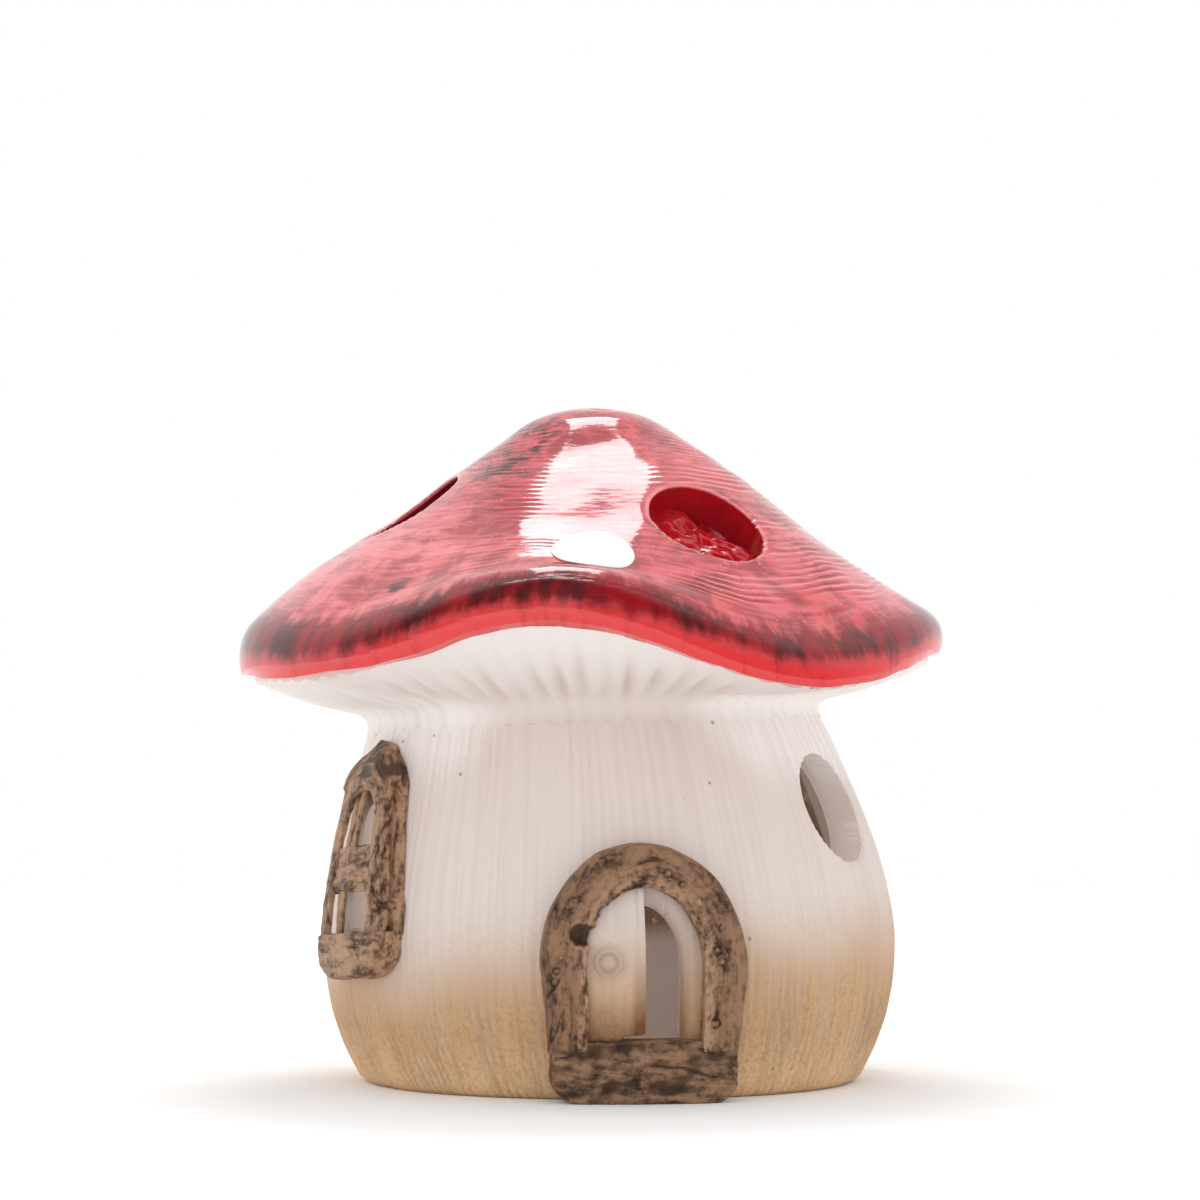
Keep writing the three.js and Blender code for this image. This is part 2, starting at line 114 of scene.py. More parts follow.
def angle(name, description, degrees):
    return FloatProperty(
        name=name, description=description, default=math.radians(degrees), subtype="ANGLE"
    )


def linear(channel):
    """One channel of a screen colour, 0 to 255, as the renderer counts it."""
    share = channel / 255
    return share / 12.92 if share < 0.04045 else ((share + 0.055) / 1.055) ** 2.4


def colour(name, description, red, green, blue):
    return FloatVectorProperty(
        name=name, description=description, subtype="COLOR", size=3, min=0, max=1,
        default=(linear(red), linear(green), linear(blue)),
    )


class StemSizes(bpy.types.PropertyGroup):
    height: length("Height", "Table to neck", 51.4)
    foot_radius: length("Foot radius", "Radius where the wall stands on the table", 34.7)
    belly_radius: length("Belly radius", "Radius at the widest line of the wall", 40.3)
    belly_height: length("Belly height", "Table to the widest line of the wall", 20.5)
    neck_radius: length("Neck radius", "Radius under the gills", 31.6)
    wall: length("Wall", "Thickness of the clay", 5)
    tuck: FloatProperty(name="Tuck", description="How late the wall tucks in to its foot", default=2.4)
    shoulder: FloatProperty(name="Shoulder", description="How early it draws in to its neck", default=1.5)
    foot_shift: length("Foot shift", "How far the foot stands to the right of the crown", 2.7)
    shift_height: length("Shift height", "Height at which the lean has died out", 57)
    shift_power: FloatProperty(name="Shift power", description="How late the lean dies out", default=3)
    grain_depth: length("Grain depth", "Depth of the fine upright grain", 0.1)
    comb_lines: IntProperty(name="Comb lines", description="Combed upright lines in a turn", default=190)
    comb_depth: length("Comb depth", "Depth of the combed lines at the foot", 0.3)
    porthole: length("Porthole", "Diameter of the round window", 14.8)
    porthole_drop: length("Porthole drop", "Neck to the middle of the round window", 13.4)
    porthole_bearing: angle("Porthole bearing", "Where the round window is", 59.5)


class CapSizes(bpy.types.PropertyGroup):
    radius: length("Radius", "Axis to the widest line of the rim", 50)
    rise: length("Rise", "Neck to crown", 43.9)
    wall: length("Wall", "Thickness of the clay", 5.5)
    crown_rounding: length("Crown rounding", "How broad the rounded crown is", 10)
    crown_fill: length("Crown fill", "How much fuller the shoulder of the crown is", 0.8)
    crown_radius: length("Crown radius", "Radius at which the crown is fullest", 9)
    rim_rise: length("Rim rise", "Neck to the widest line of the rim", 7.8)
    roll: length("Roll", "Radius of the rolled rim", 5)
    turn_under: angle("Turn under", "How far the roll goes on below its widest line", 24)
    lip: length("Lip", "Width of the lip that hides the edge of the gills", 2.2)
    wave_ease: FloatProperty(name="Wave ease", description="How slowly the waves grow outwards", default=1.3)
    hole: length("Hole", "Diameter of the round holes", 16.4)
    hole_ease: length("Hole ease", "Rounding of the holes' glazed edge", 0.6)
    pool_depth: length("Pool depth", "Face of the cap to the glaze that pooled in a hole", 4.4)
    pool_gap: length("Pool gap", "Widest gap that the pooled glaze leaves", 4.2)
    spot: length("Spot", "Diameter of the white spots", 10.9)
    spot_raise: length("Spot raise", "How far a spot stands up", 0.5)
    comb_pitch: length("Comb pitch", "Distance between two brushed grooves", 1.2)
    comb_depth: length("Comb depth", "Depth of the brushed grooves", 0.1)


class GillSizes(bpy.types.PropertyGroup):
    count: IntProperty(name="Count", description="Gills in a turn", default=78)
    depth: length("Depth", "Depth of the grooves between the gills", 1.2)
    plate: length("Plate", "Thickness of the clay", 4)
    collar_wall: length("Collar wall", "Thickness of the collar inside the neck", 3)
    collar_depth: length("Collar depth", "How far the collar reaches down the neck", 3)
    tilt: length("Tilt", "How much higher the seam is on the right than in front", 1.3)
    cup: length("Cup", "How much higher the seam is at both sides than in front", 0.8)
    hang: length("Hang", "How far the outer edge hangs below the lip at both sides", 1.1)
    sag: length("Sag", "How far the underside bulges", 0.6)


class DoorSizes(bpy.types.PropertyGroup):
    bearing: angle("Bearing", "Where the door is", 6)
    width: length("Width", "Clear width between the jambs", 15)
    springing: length("Springing", "Height where the jambs turn into the arch", 17.6)
    arch_rise: length("Arch rise", "Springing to the top of the clear opening", 9.9)
    band: length("Band", "Width of the surround", 5.8)
    band_thickness: length("Band thickness", "How far the surround stands out", 3.2)
    lip: length("Lip", "Wall left showing inside the surround", 2.3)
    step_width: length("Step width", "Width of the threshold", 24.4)
    step_height: length("Step height", "Height of the threshold", 8)
    step_thickness: length("Step thickness", "How far the threshold stands out at its top", 2.4)
    leaf: length("Leaf", "Thickness of the door leaf", 1.6)
    button_radius: length("Button radius", "Radius of the button on the leaf", 1.9)
    button_raise: length("Button raise", "How far the button stands out", 0.4)
    button_inset: length("Button inset", "Free edge of the leaf to the button", 4.8)
    button_height: length("Button height", "Table to the button", 18)


class WindowSizes(bpy.types.PropertyGroup):
    width: length("Width", "Width of the surround", 14)
    flare: angle("Flare", "How far the right jamb leans out towards its foot", 12.5)
    flare_drop: length("Flare drop", "How far below the upper panes the right jamb leans out", 8)
    tilt: angle("Tilt", "How far the bars rise to the right", 4)
    jamb: length("Jamb", "Width of its upright sides", 2.4)
    thickness: length("Thickness", "How far the surround stands out", 3.3)
    drop: length("Drop", "Neck to the tip of the head", 4.2)
    head: length("Head", "Tip of the head to the upper panes", 6.9)
    gable: length("Gable", "Tip of the head to its shoulders", 5)
    gable_bow: length("Gable bow", "How far the head's slopes bow out", 0.8)
    tip_shift: length("Tip shift", "How far the tip of the head stands off the middle", -1.7)
    upper_pane: length("Upper pane", "Height of the upper panes", 7.4)
    lower_pane: length("Lower pane", "Height of the lower panes", 5.7)
    pane_arch: length("Pane arch", "Rise of the arch over the upper panes", 4.2)
    lip: length("Lip", "Wall left showing round the panes", 0.8)
    transom: length("Transom", "Height of the cross bar", 6.1)
    bar: length("Bar", "How far the cross bar stands out", 2.6)
    upright: length("Upright", "Thickness of the upright bars", 0.8)
    rebate: length("Rebate", "How far the frame is cut back behind its face, round the panes", 1.7)
    stand_off: length("Stand off", "How much wider the rebate is behind the left jamb", 1.3)
    mullion_shift: length("Mullion shift", "How far the upright bars stand off the middle", -2.2)
    upper_mullion: length("Upper mullion", "Width of the upper upright bar", 3.2)
    lower_mullion: length("Lower mullion", "Width of the lower upright bar", 2)
    sill: length("Sill", "Height of the sill", 5.9)
    sill_horn: length("Sill horn", "How far the sill passes the jambs", 0.6)
    sill_thickness: length("Sill thickness", "How far the sill stands out", 3.8)


class Finishes(bpy.types.PropertyGroup):
    red: colour("Red", "Clear red glaze", 214, 30, 42)
    # Painted reflection: the bright red under the rim stands in for the floor mirrored there.
    red_bright: colour("Bright red", "Thin red glaze under the rim", 232, 60, 62)
    red_deep: colour("Deep red", "Thick red glaze", 150, 14, 24)
    # Pink is also painted highlight and glints on the red glaze, and a painted reflection on its left flank.
    pink_and_highlight: colour("Pink", "Red glaze where it is thin over the clay", 248, 156, 160)
    smudge: colour("Smudge", "Brown smudges under the glaze", 84, 34, 36)
    # The dark streak colour also paints a dark reflection along the rim and shade in the left holes.
    dark_streak_and_shade: colour("Streak", "Dark streaks along the rim", 62, 16, 16)
    white: colour("White", "White glaze", 250, 249, 246)
    cream: colour("Cream", "Bare cream clay of the wall", 231, 219, 212)
    # Painted light: the paler clay under the cap stands in for light bounced up from the floor.
    bounce_lit_pale: colour("Chalk", "Paler clay of the gills", 250, 244, 240)
    # Tan is painted shade in the grooves of the gills and along the stem's grain and combed lines.
    tan: colour("Tan", "Tint in the grooves of the gills", 212, 193, 177)
    sand: colour("Sand", "Sandy brown dusted on the foot", 209, 169, 126)
    # Painted light: the lighter sand at the foot offsets the floor's contact shade.
    sand_painted_light: colour("Light sand", "The same, rubbed thin where the wall meets the table", 240, 200, 154)
    umber: colour("Umber", "Brown left in the grain of the foot", 122, 80, 48)
    inner: colour("Inner", "Clear glaze inside the wall", 226, 212, 203)
    bark: colour("Bark", "Wood-look clay", 146, 109, 81)
    bark_light: colour("Light bark", "Rubbed ridges of the wood-look clay", 192, 155, 124)
    bark_dark: colour("Dark bark", "Stain in the cracks of the wood-look clay", 52, 33, 19)


class HouseSettings(bpy.types.PropertyGroup):
    stem: PointerProperty(type=StemSizes)
    cap: PointerProperty(type=CapSizes)
    gills: PointerProperty(type=GillSizes)
    door: PointerProperty(type=DoorSizes)
    window: PointerProperty(type=WindowSizes)
    finishes: PointerProperty(type=Finishes)


def house():
    return bpy.context.scene.toadstool_house


# Curves of the house


def smooth(value, low, high):
    """0 below low, 1 above high, and an even ease between them. High may be the smaller one."""
    share = np.clip((np.asarray(value) - low) / (high - low), 0, 1)
    return share * share * (3 - 2 * share)


def hump(value, middle, reach):
    """A round hump, 1 in the middle and fading out past its reach."""
    return np.exp(-(((value - middle) / reach) ** 2))


def stem_radius(z):
    stem = house().stem
    down = np.clip((stem.belly_height - z) / stem.belly_height, 0, 1)
    up = np.clip((z - stem.belly_height) / (stem.height - stem.belly_height), 0, None)
    tucked = (stem.belly_radius - stem.foot_radius) * down**stem.tuck
    drawn_in = (stem.belly_radius - stem.neck_radius) * up**stem.shoulder
    return stem.belly_radius - tucked - drawn_in


def lean(z):
    """How far the house stands to the right of its crown at a height."""
    stem = house().stem
    share = np.clip(z / stem.shift_height, 0, 1)
    return stem.foot_shift * (1 - share**stem.shift_power)


class CapCurves:
    """The curves of the cap and its gills, worked out from their sizes."""

    def __init__(self):
        stem, cap = house().stem, house().cap
        self.cap = cap
        self.neck = stem.neck_radius
        self.seat = stem.height + 0.3 * MM
        self.top = stem.height + cap.rise
        self.rim_height = stem.height + cap.rim_rise
        self.rim_centre = cap.radius - cap.roll
        self.slope = self.slope_touching_rim()
        self.lip_radius = self.rim_centre + cap.roll * math.cos(cap.turn_under)
        self.lip_height = self.rim_height - cap.roll * math.sin(cap.turn_under)
        self.plate_radius = self.lip_radius - cap.lip
        self.plate_slope = (self.lip_height - self.seat) / (self.plate_radius - self.neck)

    def slope_touching_rim(self):
        """The cone's slope at which it runs smoothly into the rolled rim."""
        roll, rounding = self.cap.roll, self.cap.crown_rounding
        drop = self.top - self.rim_height
        run = math.hypot(self.rim_centre, rounding) - rounding
        spread = run**2 - roll**2
        root = math.sqrt((drop * run) ** 2 - spread * (drop**2 - roll**2))
        return (drop * run - root) / spread

    def height(self, radius):
        rounding = self.cap.crown_rounding
        return self.top - self.slope * (np.hypot(radius, rounding) - rounding)

    def tilt(self, radius):
        return np.arctan(self.slope * radius / np.hypot(radius, self.cap.crown_rounding))

    def gill_height(self, radius):
        return self.seat + self.plate_slope * (radius - self.neck)

    def lift(self, x, y):
        """How far the waves of the rim lift a point."""
        out = (np.hypot(x, y) - self.neck) / (self.cap.radius - self.neck)
        share = np.clip(out, 0, 1) ** self.cap.wave_ease
        bearing = np.arctan2(x, -y)
        return share * sum(
            height * np.cos(count * (bearing - math.radians(crest))) for count, height, crest in RIM_WAVES
        )

    def fullness(self, x, y, z):
        """How far the hand-built fullness lifts a point at a height. It dies out under the rim."""
        radius = np.hypot(x, y)
        bearing = np.degrees(np.arctan2(x, -y))
        full = self.cap.crown_fill * hump(radius, self.cap.crown_radius, self.cap.crown_radius / 2)
        for height, middle, reach, towards, sweep in CAP_FULLNESS:
            full = full + height * hump(radius, middle, reach) * hump(bearing, towards, sweep)
        return full * smooth(z, self.rim_height - 3 * MM, self.rim_height + 4 * MM)

    def rise(self, x, y, z):
        """How far the waves and the fullness lift a point of the cap."""
        return self.lift(x, y) + self.fullness(x, y, z)

    def level(self, points):
        """Heights of the cap's points with the waves and the fullness taken out, found step by step."""
        x, y = points[:, 0], points[:, 1]
        wavy = points[:, 2] - self.lift(x, y)
        level = wavy
        for _ in range(6):
            level = wavy - self.fullness(x, y, level)
        return level

    def face(self, x, y):
        """Height of the cap's outer face."""
        z = self.height(np.hypot(x, y))
        return z + self.rise(x, y, z)

    def place(self, bearing, from_rim):
        """A point on the cap's face, and the face's normal there."""
        point = outward(math.radians(bearing)) * (self.cap.radius - from_rim)
        x, y, step = point.x, point.y, 0.5 * MM
        point.z = float(self.face(x, y))
        along = float(self.face(x + step, y) - self.face(x - step, y)) / (2 * step)
        back = float(self.face(x, y + step) - self.face(x, y - step)) / (2 * step)
        return point, Vector((-along, -back, 1)).normalized()


def outward(bearing):
    return Vector((math.sin(bearing), -math.cos(bearing), 0))


# Points of a piece


def points_of(piece):
    flat = np.empty(3 * len(piece.data.vertices), np.float32)
    piece.data.vertices.foreach_get("co", flat)
    return flat.reshape(-1, 3).astype(float)


def radius_of(points):
    """Distance of points from the house's axis."""
    return np.hypot(points[:, 0], points[:, 1])


def bearing_of(points):
    return np.degrees(np.arctan2(points[:, 0], -points[:, 1]))


def set_points(piece, points):
    piece.data.vertices.foreach_set("co", np.asarray(points, np.float32).ravel())
    piece.data.update()


def normals_of(piece):
    flat = np.empty(3 * len(piece.data.vertices), np.float32)
    piece.data.vertex_normals.foreach_get("vector", flat)
    return flat.reshape(-1, 3).astype(float)


def carve(piece, depth):
    """Moves each point along its normal, in by a positive depth and out by a negative one."""
    set_points(piece, points_of(piece) - normals_of(piece) * np.asarray(depth)[:, None])


def keep_values(piece, name, values):
    """Leaves a number at each point, for the finish to read."""
    attribute = piece.data.attributes.new(name, "FLOAT", "POINT")
    attribute.data.foreach_set("value", np.asarray(values, np.float32))


def keep_vectors(piece, name, vectors):
    attribute = piece.data.attributes.new(name, "FLOAT_VECTOR", "POINT")
    attribute.data.foreach_set("vector", np.asarray(vectors, np.float32).ravel())


def clouds(points, size):
    """Soft noise from -1 to 1. Size is one length, or one for each of the three directions."""
    return np.array([noise.noise(point) for point in (np.asarray(points) / size).tolist()])


def lean_over(piece):
    points = points_of(piece)
    points[:, 0] += lean(points[:, 2])
    set_points(piece, points)


# Modelling as by hand


def start_fresh():
    if bpy.context.mode != "OBJECT":
        bpy.ops.object.mode_set(mode="OBJECT")
    bpy.ops.object.select_all(action="DESELECT")


def pick(*pieces):
    start_fresh()
    for piece in pieces:
        piece.select_set(True)
    bpy.context.view_layer.objects.active = pieces[0]


def edit(piece):
    pick(piece)
    bpy.ops.object.mode_set(mode="EDIT")
    bpy.ops.mesh.select_all(action="SELECT")


def apply(piece, modifier):
    pick(piece)
    bpy.ops.object.modifier_apply(modifier=modifier.name)


def ring(name, points):
    """A closed ring of points, from a circle drawn out to an outline."""
    start_fresh()
    bpy.ops.mesh.primitive_circle_add(vertices=len(points))
    made = bpy.context.object
    made.name = name
    set_points(made, points)
    return made


def turned(name, section, turns):
    """A round clay body: its section, of radius and height, spun about the Z axis."""
    body = ring(name, [(radius, 0, height) for radius, height in section])
    edit(body)
    bpy.ops.mesh.spin(steps=turns, angle=2 * math.pi, center=(0, 0, 0), axis=(0, 0, 1))
    bpy.ops.mesh.select_all(action="SELECT")
    bpy.ops.mesh.remove_doubles(threshold=0.001 * MM)
    bpy.ops.mesh.delete_loose()
    bpy.ops.mesh.select_all(action="SELECT")
    bpy.ops.mesh.normals_make_consistent(inside=False)
    bpy.ops.object.mode_set(mode="OBJECT")
    return body


def slab(name, outline, front, back=0.0):
    """A flat piece of clay that stands upright and faces -Y, from its outline along and up."""
    made = ring(name, [(along, -back, height) for along, height in outline])
    edit(made)
    bpy.ops.mesh.edge_face_add()
    bpy.ops.mesh.extrude_region_move(TRANSFORM_OT_translate={"value": (0, back - front, 0)})
    bpy.ops.mesh.select_all(action="SELECT")
    bpy.ops.mesh.normals_make_consistent(inside=False)
    bpy.ops.object.mode_set(mode="OBJECT")
    return made


def combine(piece, operation, parts):
    """Cuts parts out of a piece or fuses them to it, and throws the parts away."""
    for part in parts:
        change = piece.modifiers.new("combine", "BOOLEAN")
        change.operation = operation
        change.solver = "EXACT"
        change.object = part
        apply(piece, change)
        bpy.data.objects.remove(part)


def cut(piece, *tools):
    combine(piece, "DIFFERENCE", tools)


def joined(pieces):
    pick(*pieces)
    bpy.ops.object.join()
    return bpy.context.object


def flattened_ball(name, radius, height, segments):
    start_fresh()
    bpy.ops.mesh.primitive_uv_sphere_add(segments=segments, ring_count=segments // 2, radius=radius)
    ball = bpy.context.object
    ball.name = name
    edit(ball)
    bpy.ops.transform.resize(value=(1, 1, height / radius), center_override=(0, 0, 0))
    bpy.ops.object.mode_set(mode="OBJECT")
    return ball


def softened(piece, grain, rounds):
    """Gives clay an even skin of small faces, and rubs its edges round."""
    skin = piece.modifiers.new("skin", "REMESH")
    skin.mode = "VOXEL"
    skin.voxel_size = grain
    apply(piece, skin)
    rub = piece.modifiers.new("rub", "SMOOTH")
    rub.factor = 0.5
    rub.iterations = rounds
    apply(piece, rub)


def finish(piece, material, slot, *nodes):
    """Shades a piece, paints it and sets it in the frame in place of its solids."""
    pick(piece)
    bpy.ops.object.shade_smooth_by_angle(angle=SMOOTH_ANGLE)
    piece.data.materials.clear()
    piece.data.materials.append(material)
    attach(piece, "root")
    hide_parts(*nodes)


# Outlines, along and up


def arc(centre, radii, start, stop, count):
    """Points on part of an ellipse, with angles in degrees."""
    turns = np.radians(np.linspace(start, stop, count + 1))
    return [(centre[0] + radii[0] * math.cos(t), centre[1] + radii[1] * math.sin(t)) for t in turns]


def arch(half, bottom, springing, rise, count=32):
    return [(-half, bottom), (half, bottom), *arc((0, springing), (half, rise), 0, 180, count)]


def bowed(start, bend, stop, count=8):
    """A curve from start to stop, drawn towards a bend."""
    shares = np.linspace(0, 1, count + 1)[:-1]
    ends = [np.array(end) for end in (start, bend, stop)]
    return [tuple((1 - s) ** 2 * ends[0] + 2 * s * (1 - s) * ends[1] + s**2 * ends[2]) for s in shares]


def gable(half, bottom, shoulder, tip, bow, shift):
    """A house shape whose tip is shifted to one side."""
    bend = (half / 2 + bow, (shoulder + tip) / 2 + bow)
    right = bowed((half, shoulder), bend, (shift, tip))
    left = bowed((shift, tip), (-bend[0], bend[1]), (-half, shoulder))
    return [(-half, bottom), (half, bottom), *right, *left, (-half, shoulder)]


def block(left, right, bottom, top, rounding=0.0):
    """A rectangle whose lower corners may be rounded."""
    if not rounding:
        return [(left, bottom), (right, bottom), (right, top), (left, top)]
    low = bottom + rounding
    near = arc((left + rounding, low), (rounding, rounding), 180, 270, 6)
    far = arc((right - rounding, low), (rounding, rounding), 270, 360, 6)
    return [*near, *far, (right, top), (left, top)]


# Finishes


class Nodes:
    """Short calls for the nodes of a tree."""

    def __init__(self, tree):
        self.tree = tree

    def feed(self, socket, value):
        if isinstance(value, bpy.types.NodeSocket):
            self.tree.links.new(value, socket)
        elif socket.type == "RGBA":
            socket.default_value = (*value, 1)
        else:
            socket.default_value = value

    def node(self, kind, sockets, **settings):
        made = self.tree.nodes.new(kind)
        for name, value in settings.items():
            setattr(made, name, value)
        for name, value in sockets.items():
            self.feed(made.inputs[name], value)
        return made

    def place(self):
        return self.node("ShaderNodeTexCoord", {}).outputs["Object"]

    def kept(self, name, output="Fac"):
        """A value that was left at the piece's points."""
        return self.node("ShaderNodeAttribute", {}, attribute_name=name).outputs[output]

    def stretched(self, vector, scale):
        return self.node("ShaderNodeMapping", {"Vector": vector, "Scale": scale}).outputs[0]

    def clouds(self, vector, scale, detail=3.0, distortion=0.0, roughness=0.5):
        sockets = {
            "Vector": vector, "Scale": scale, "Detail": detail,
            "Distortion": distortion, "Roughness": roughness,
        }
        return self.node("ShaderNodeTexNoise", sockets).outputs[0]

    def cells(self, vector, scale):
        return self.node("ShaderNodeTexVoronoi", {"Vector": vector, "Scale": scale})

    def maths(self, operation, first, second=0.0):
        return self.node("ShaderNodeMath", {0: first, 1: second}, operation=operation).outputs[0]

    def length(self, vector):
        return self.node("ShaderNodeVectorMath", {0: vector}, operation="LENGTH").outputs["Value"]

    def upright(self, value):
        """A vector that points up by a value."""
        return self.node("ShaderNodeCombineXYZ", {"Z": value}).outputs[0]

    def vectors(self, operation, first, second=(0, 0, 0)):
        return self.node("ShaderNodeVectorMath", {0: first, 1: second}, operation=operation).outputs[0]

    def mask(self, value, low, high):
        """0 below low, 1 above high, with an even ease between them."""
        if low > high:
            return self.maths("SUBTRACT", 1.0, self.mask(value, high, low))
        sockets = {"Value": value, "From Min": low, "From Max": high}
        return self.node("ShaderNodeMapRange", sockets, interpolation_type="SMOOTHSTEP").outputs[0]

    def span(self, value, low, high):
        """Spreads a value from 0 to 1 between two others."""
        return self.node("ShaderNodeMapRange", {"Value": value, "To Min": low, "To Max": high}).outputs[0]

    def mix(self, share, first, second):
        return self.node("ShaderNodeMix", {0: share, 6: first, 7: second}, data_type="RGBA").outputs[2]

    def parts(self, vector):
        return self.node("ShaderNodeSeparateXYZ", {0: vector}).outputs


class Recipe(Nodes):
    """The node tree of one finish."""

    def __init__(self, name):
        self.material = bpy.data.materials.new(name)
        self.material.use_nodes = True
        super().__init__(self.material.node_tree)
        self.shader = self.tree.nodes["Principled BSDF"]

    def bump(self, height, distance):
        sockets = {"Height": height, "Distance": distance, "Strength": 1.0}
        self.feed(self.shader.inputs["Normal"], self.node("ShaderNodeBump", sockets).outputs[0])

    def done(self, base, roughness, **constants):
        self.feed(self.shader.inputs["Base Color"], base)
        self.feed(self.shader.inputs["Roughness"], roughness)
        for name, value in constants.items():
            self.feed(self.shader.inputs[name.replace("_", " ")], value)
        return self.material


def red_glaze():
    """Glossy red glaze: brushed round, pink low down where thinly glazed, smoked near the crown, dark along
    the rim. Also painted in: a reflection that makes the left flank pinker, a dark reflection in the rim
    band, the floor's reflection in bright red under the rim, pink glints, highlights on the brushed ridges
    and round the holes, and shade in the brushed grooves and the left holes.
    """
    paint = house().finishes
    recipe = Recipe("fired_red")
    place = recipe.place()
    level = recipe.kept("level")
    inside = recipe.kept("inside")

    flat = recipe.vectors("MULTIPLY", place, (1, 1, 0))
    towards = recipe.vectors("NORMALIZE", flat)
    down = recipe.upright(recipe.maths("MULTIPLY", recipe.length(flat), 260.0))
    rings = recipe.vectors("ADD", towards, down)
    brushed = recipe.clouds(rings, 5, 7, 0.5, 0.62)
    cloudy = recipe.clouds(place, 150, 7, 0.7, 0.62)
    base = recipe.mix(recipe.mask(cloudy, 0.38, 0.6), paint.red_deep, paint.red)
    share = recipe.span(recipe.mask(recipe.maths("ADD", brushed, cloudy), 0.82, 1.18), 0.3, 1.0)
    # Pink where the glaze runs thinly, with a painted reflection that makes the left flank pinker.
    base = recipe.mix(recipe.maths("MULTIPLY", share, recipe.kept("thin_glaze_and_left_sheen")), base, paint.pink_and_highlight)
    smoky_and_shaded = recipe.kept("smoky_and_shaded")
    smeared = recipe.maths("ADD", recipe.clouds(rings, 4, 5, 0.7, 0.6), cloudy)
    smoke = recipe.mask(smeared, 0.94, 1.2)
    base = recipe.mix(recipe.maths("MULTIPLY", smoke, smoky_and_shaded), base, paint.smudge)
    # Painted glints: small pink flecks.
    painted_glints = recipe.mask(recipe.clouds(place, 1100, 4, 0.6, 0.6), 0.63, 0.7)
    base = recipe.mix(recipe.maths("MULTIPLY", painted_glints, 0.5), base, paint.pink_and_highlight)
    comb = recipe.kept("comb")
    # Brushed lines: deeper red in the grooves where glaze pools, with painted shade there, and pink on the
    # ridges as a painted highlight where the glaze runs thinly.
    grooves = recipe.maths("MULTIPLY", recipe.mask(comb, 0.1, 0.75), 0.7)
    base = recipe.mix(grooves, base, paint.red_deep)
    ridges = recipe.maths("MULTIPLY", recipe.mask(comb, -0.4, -0.95), 0.8)
    base = recipe.mix(ridges, base, paint.pink_and_highlight)

    # Dark band along the rim: dark streaks in the glaze, with a painted dark reflection there.
    along_rim = recipe.vectors("ADD", towards, recipe.upright(recipe.maths("MULTIPLY", level, 7.0)))
    streaks = recipe.clouds(along_rim, 24, 6, 0.0, 0.6)
    patches = recipe.clouds(along_rim, 5, 3)
    ragged = recipe.maths("SUBTRACT", streaks, 0.5)
    upper_edge = recipe.maths("ADD", level, recipe.maths("MULTIPLY", ragged, 5.5 * MM))
    drawn_up = recipe.maths("SUBTRACT", level, recipe.kept("band_lift"))
    lower_edge = recipe.maths("ADD", drawn_up, recipe.maths("MULTIPLY", ragged, 2.6 * MM))
    upper = recipe.mask(upper_edge, 5.8 * MM, 3.8 * MM)
    lower = recipe.mask(lower_edge, -2.4 * MM, 0.8 * MM)
    tone = recipe.maths("ADD", streaks, recipe.maths("MULTIPLY", patches, 0.7))
    band_colour = recipe.mix(recipe.mask(tone, 0.66, 1.0), paint.red_deep, paint.dark_streak_and_shade)
    band = recipe.maths("MULTIPLY", recipe.maths("MULTIPLY", upper, lower), 0.92)
    base = recipe.mix(band, base, band_colour)
    # Painted reflection of the bright floor: bright red under the rim.
    floor_reflection = recipe.mix(recipe.mask(streaks, 0.5, 0.75), paint.red_bright, paint.red)
    base = recipe.mix(recipe.mask(lower_edge, 0.4 * MM, -2.2 * MM), base, floor_reflection)

    # Painted highlight: a pink line round the holes' rounded edges.
    painted_hole_highlight = recipe.maths("MULTIPLY", recipe.mask(recipe.kept("hole_edge"), 0.8 * MM, 0.3 * MM), 0.7)
    base = recipe.mix(painted_hole_highlight, base, paint.pink_and_highlight)
    # Hole walls: deep red, with painted shade in the left holes.
    hidden = recipe.mask(inside, 0.2 * MM, 0.6 * MM)
    reveal = recipe.mix(smoky_and_shaded, recipe.mix(cloudy, paint.red_deep, paint.red), paint.dark_streak_and_shade)
    base = recipe.mix(hidden, base, reveal)
    bare = recipe.mask(inside, 6.4 * MM, 8.0 * MM)
    base = recipe.mix(bare, base, paint.inner)

    shine = recipe.span(recipe.clouds(place, 300, 3), 0.03, 0.1)
    roughness = recipe.maths("ADD", shine, recipe.maths("MULTIPLY", bare, 0.3))
    ripple = recipe.clouds(recipe.stretched(place, (0.35, 0.35, 1.6)), 900, 3)
    recipe.bump(ripple, 0.03 * MM)
    return recipe.done(base, roughness, IOR=1.48)


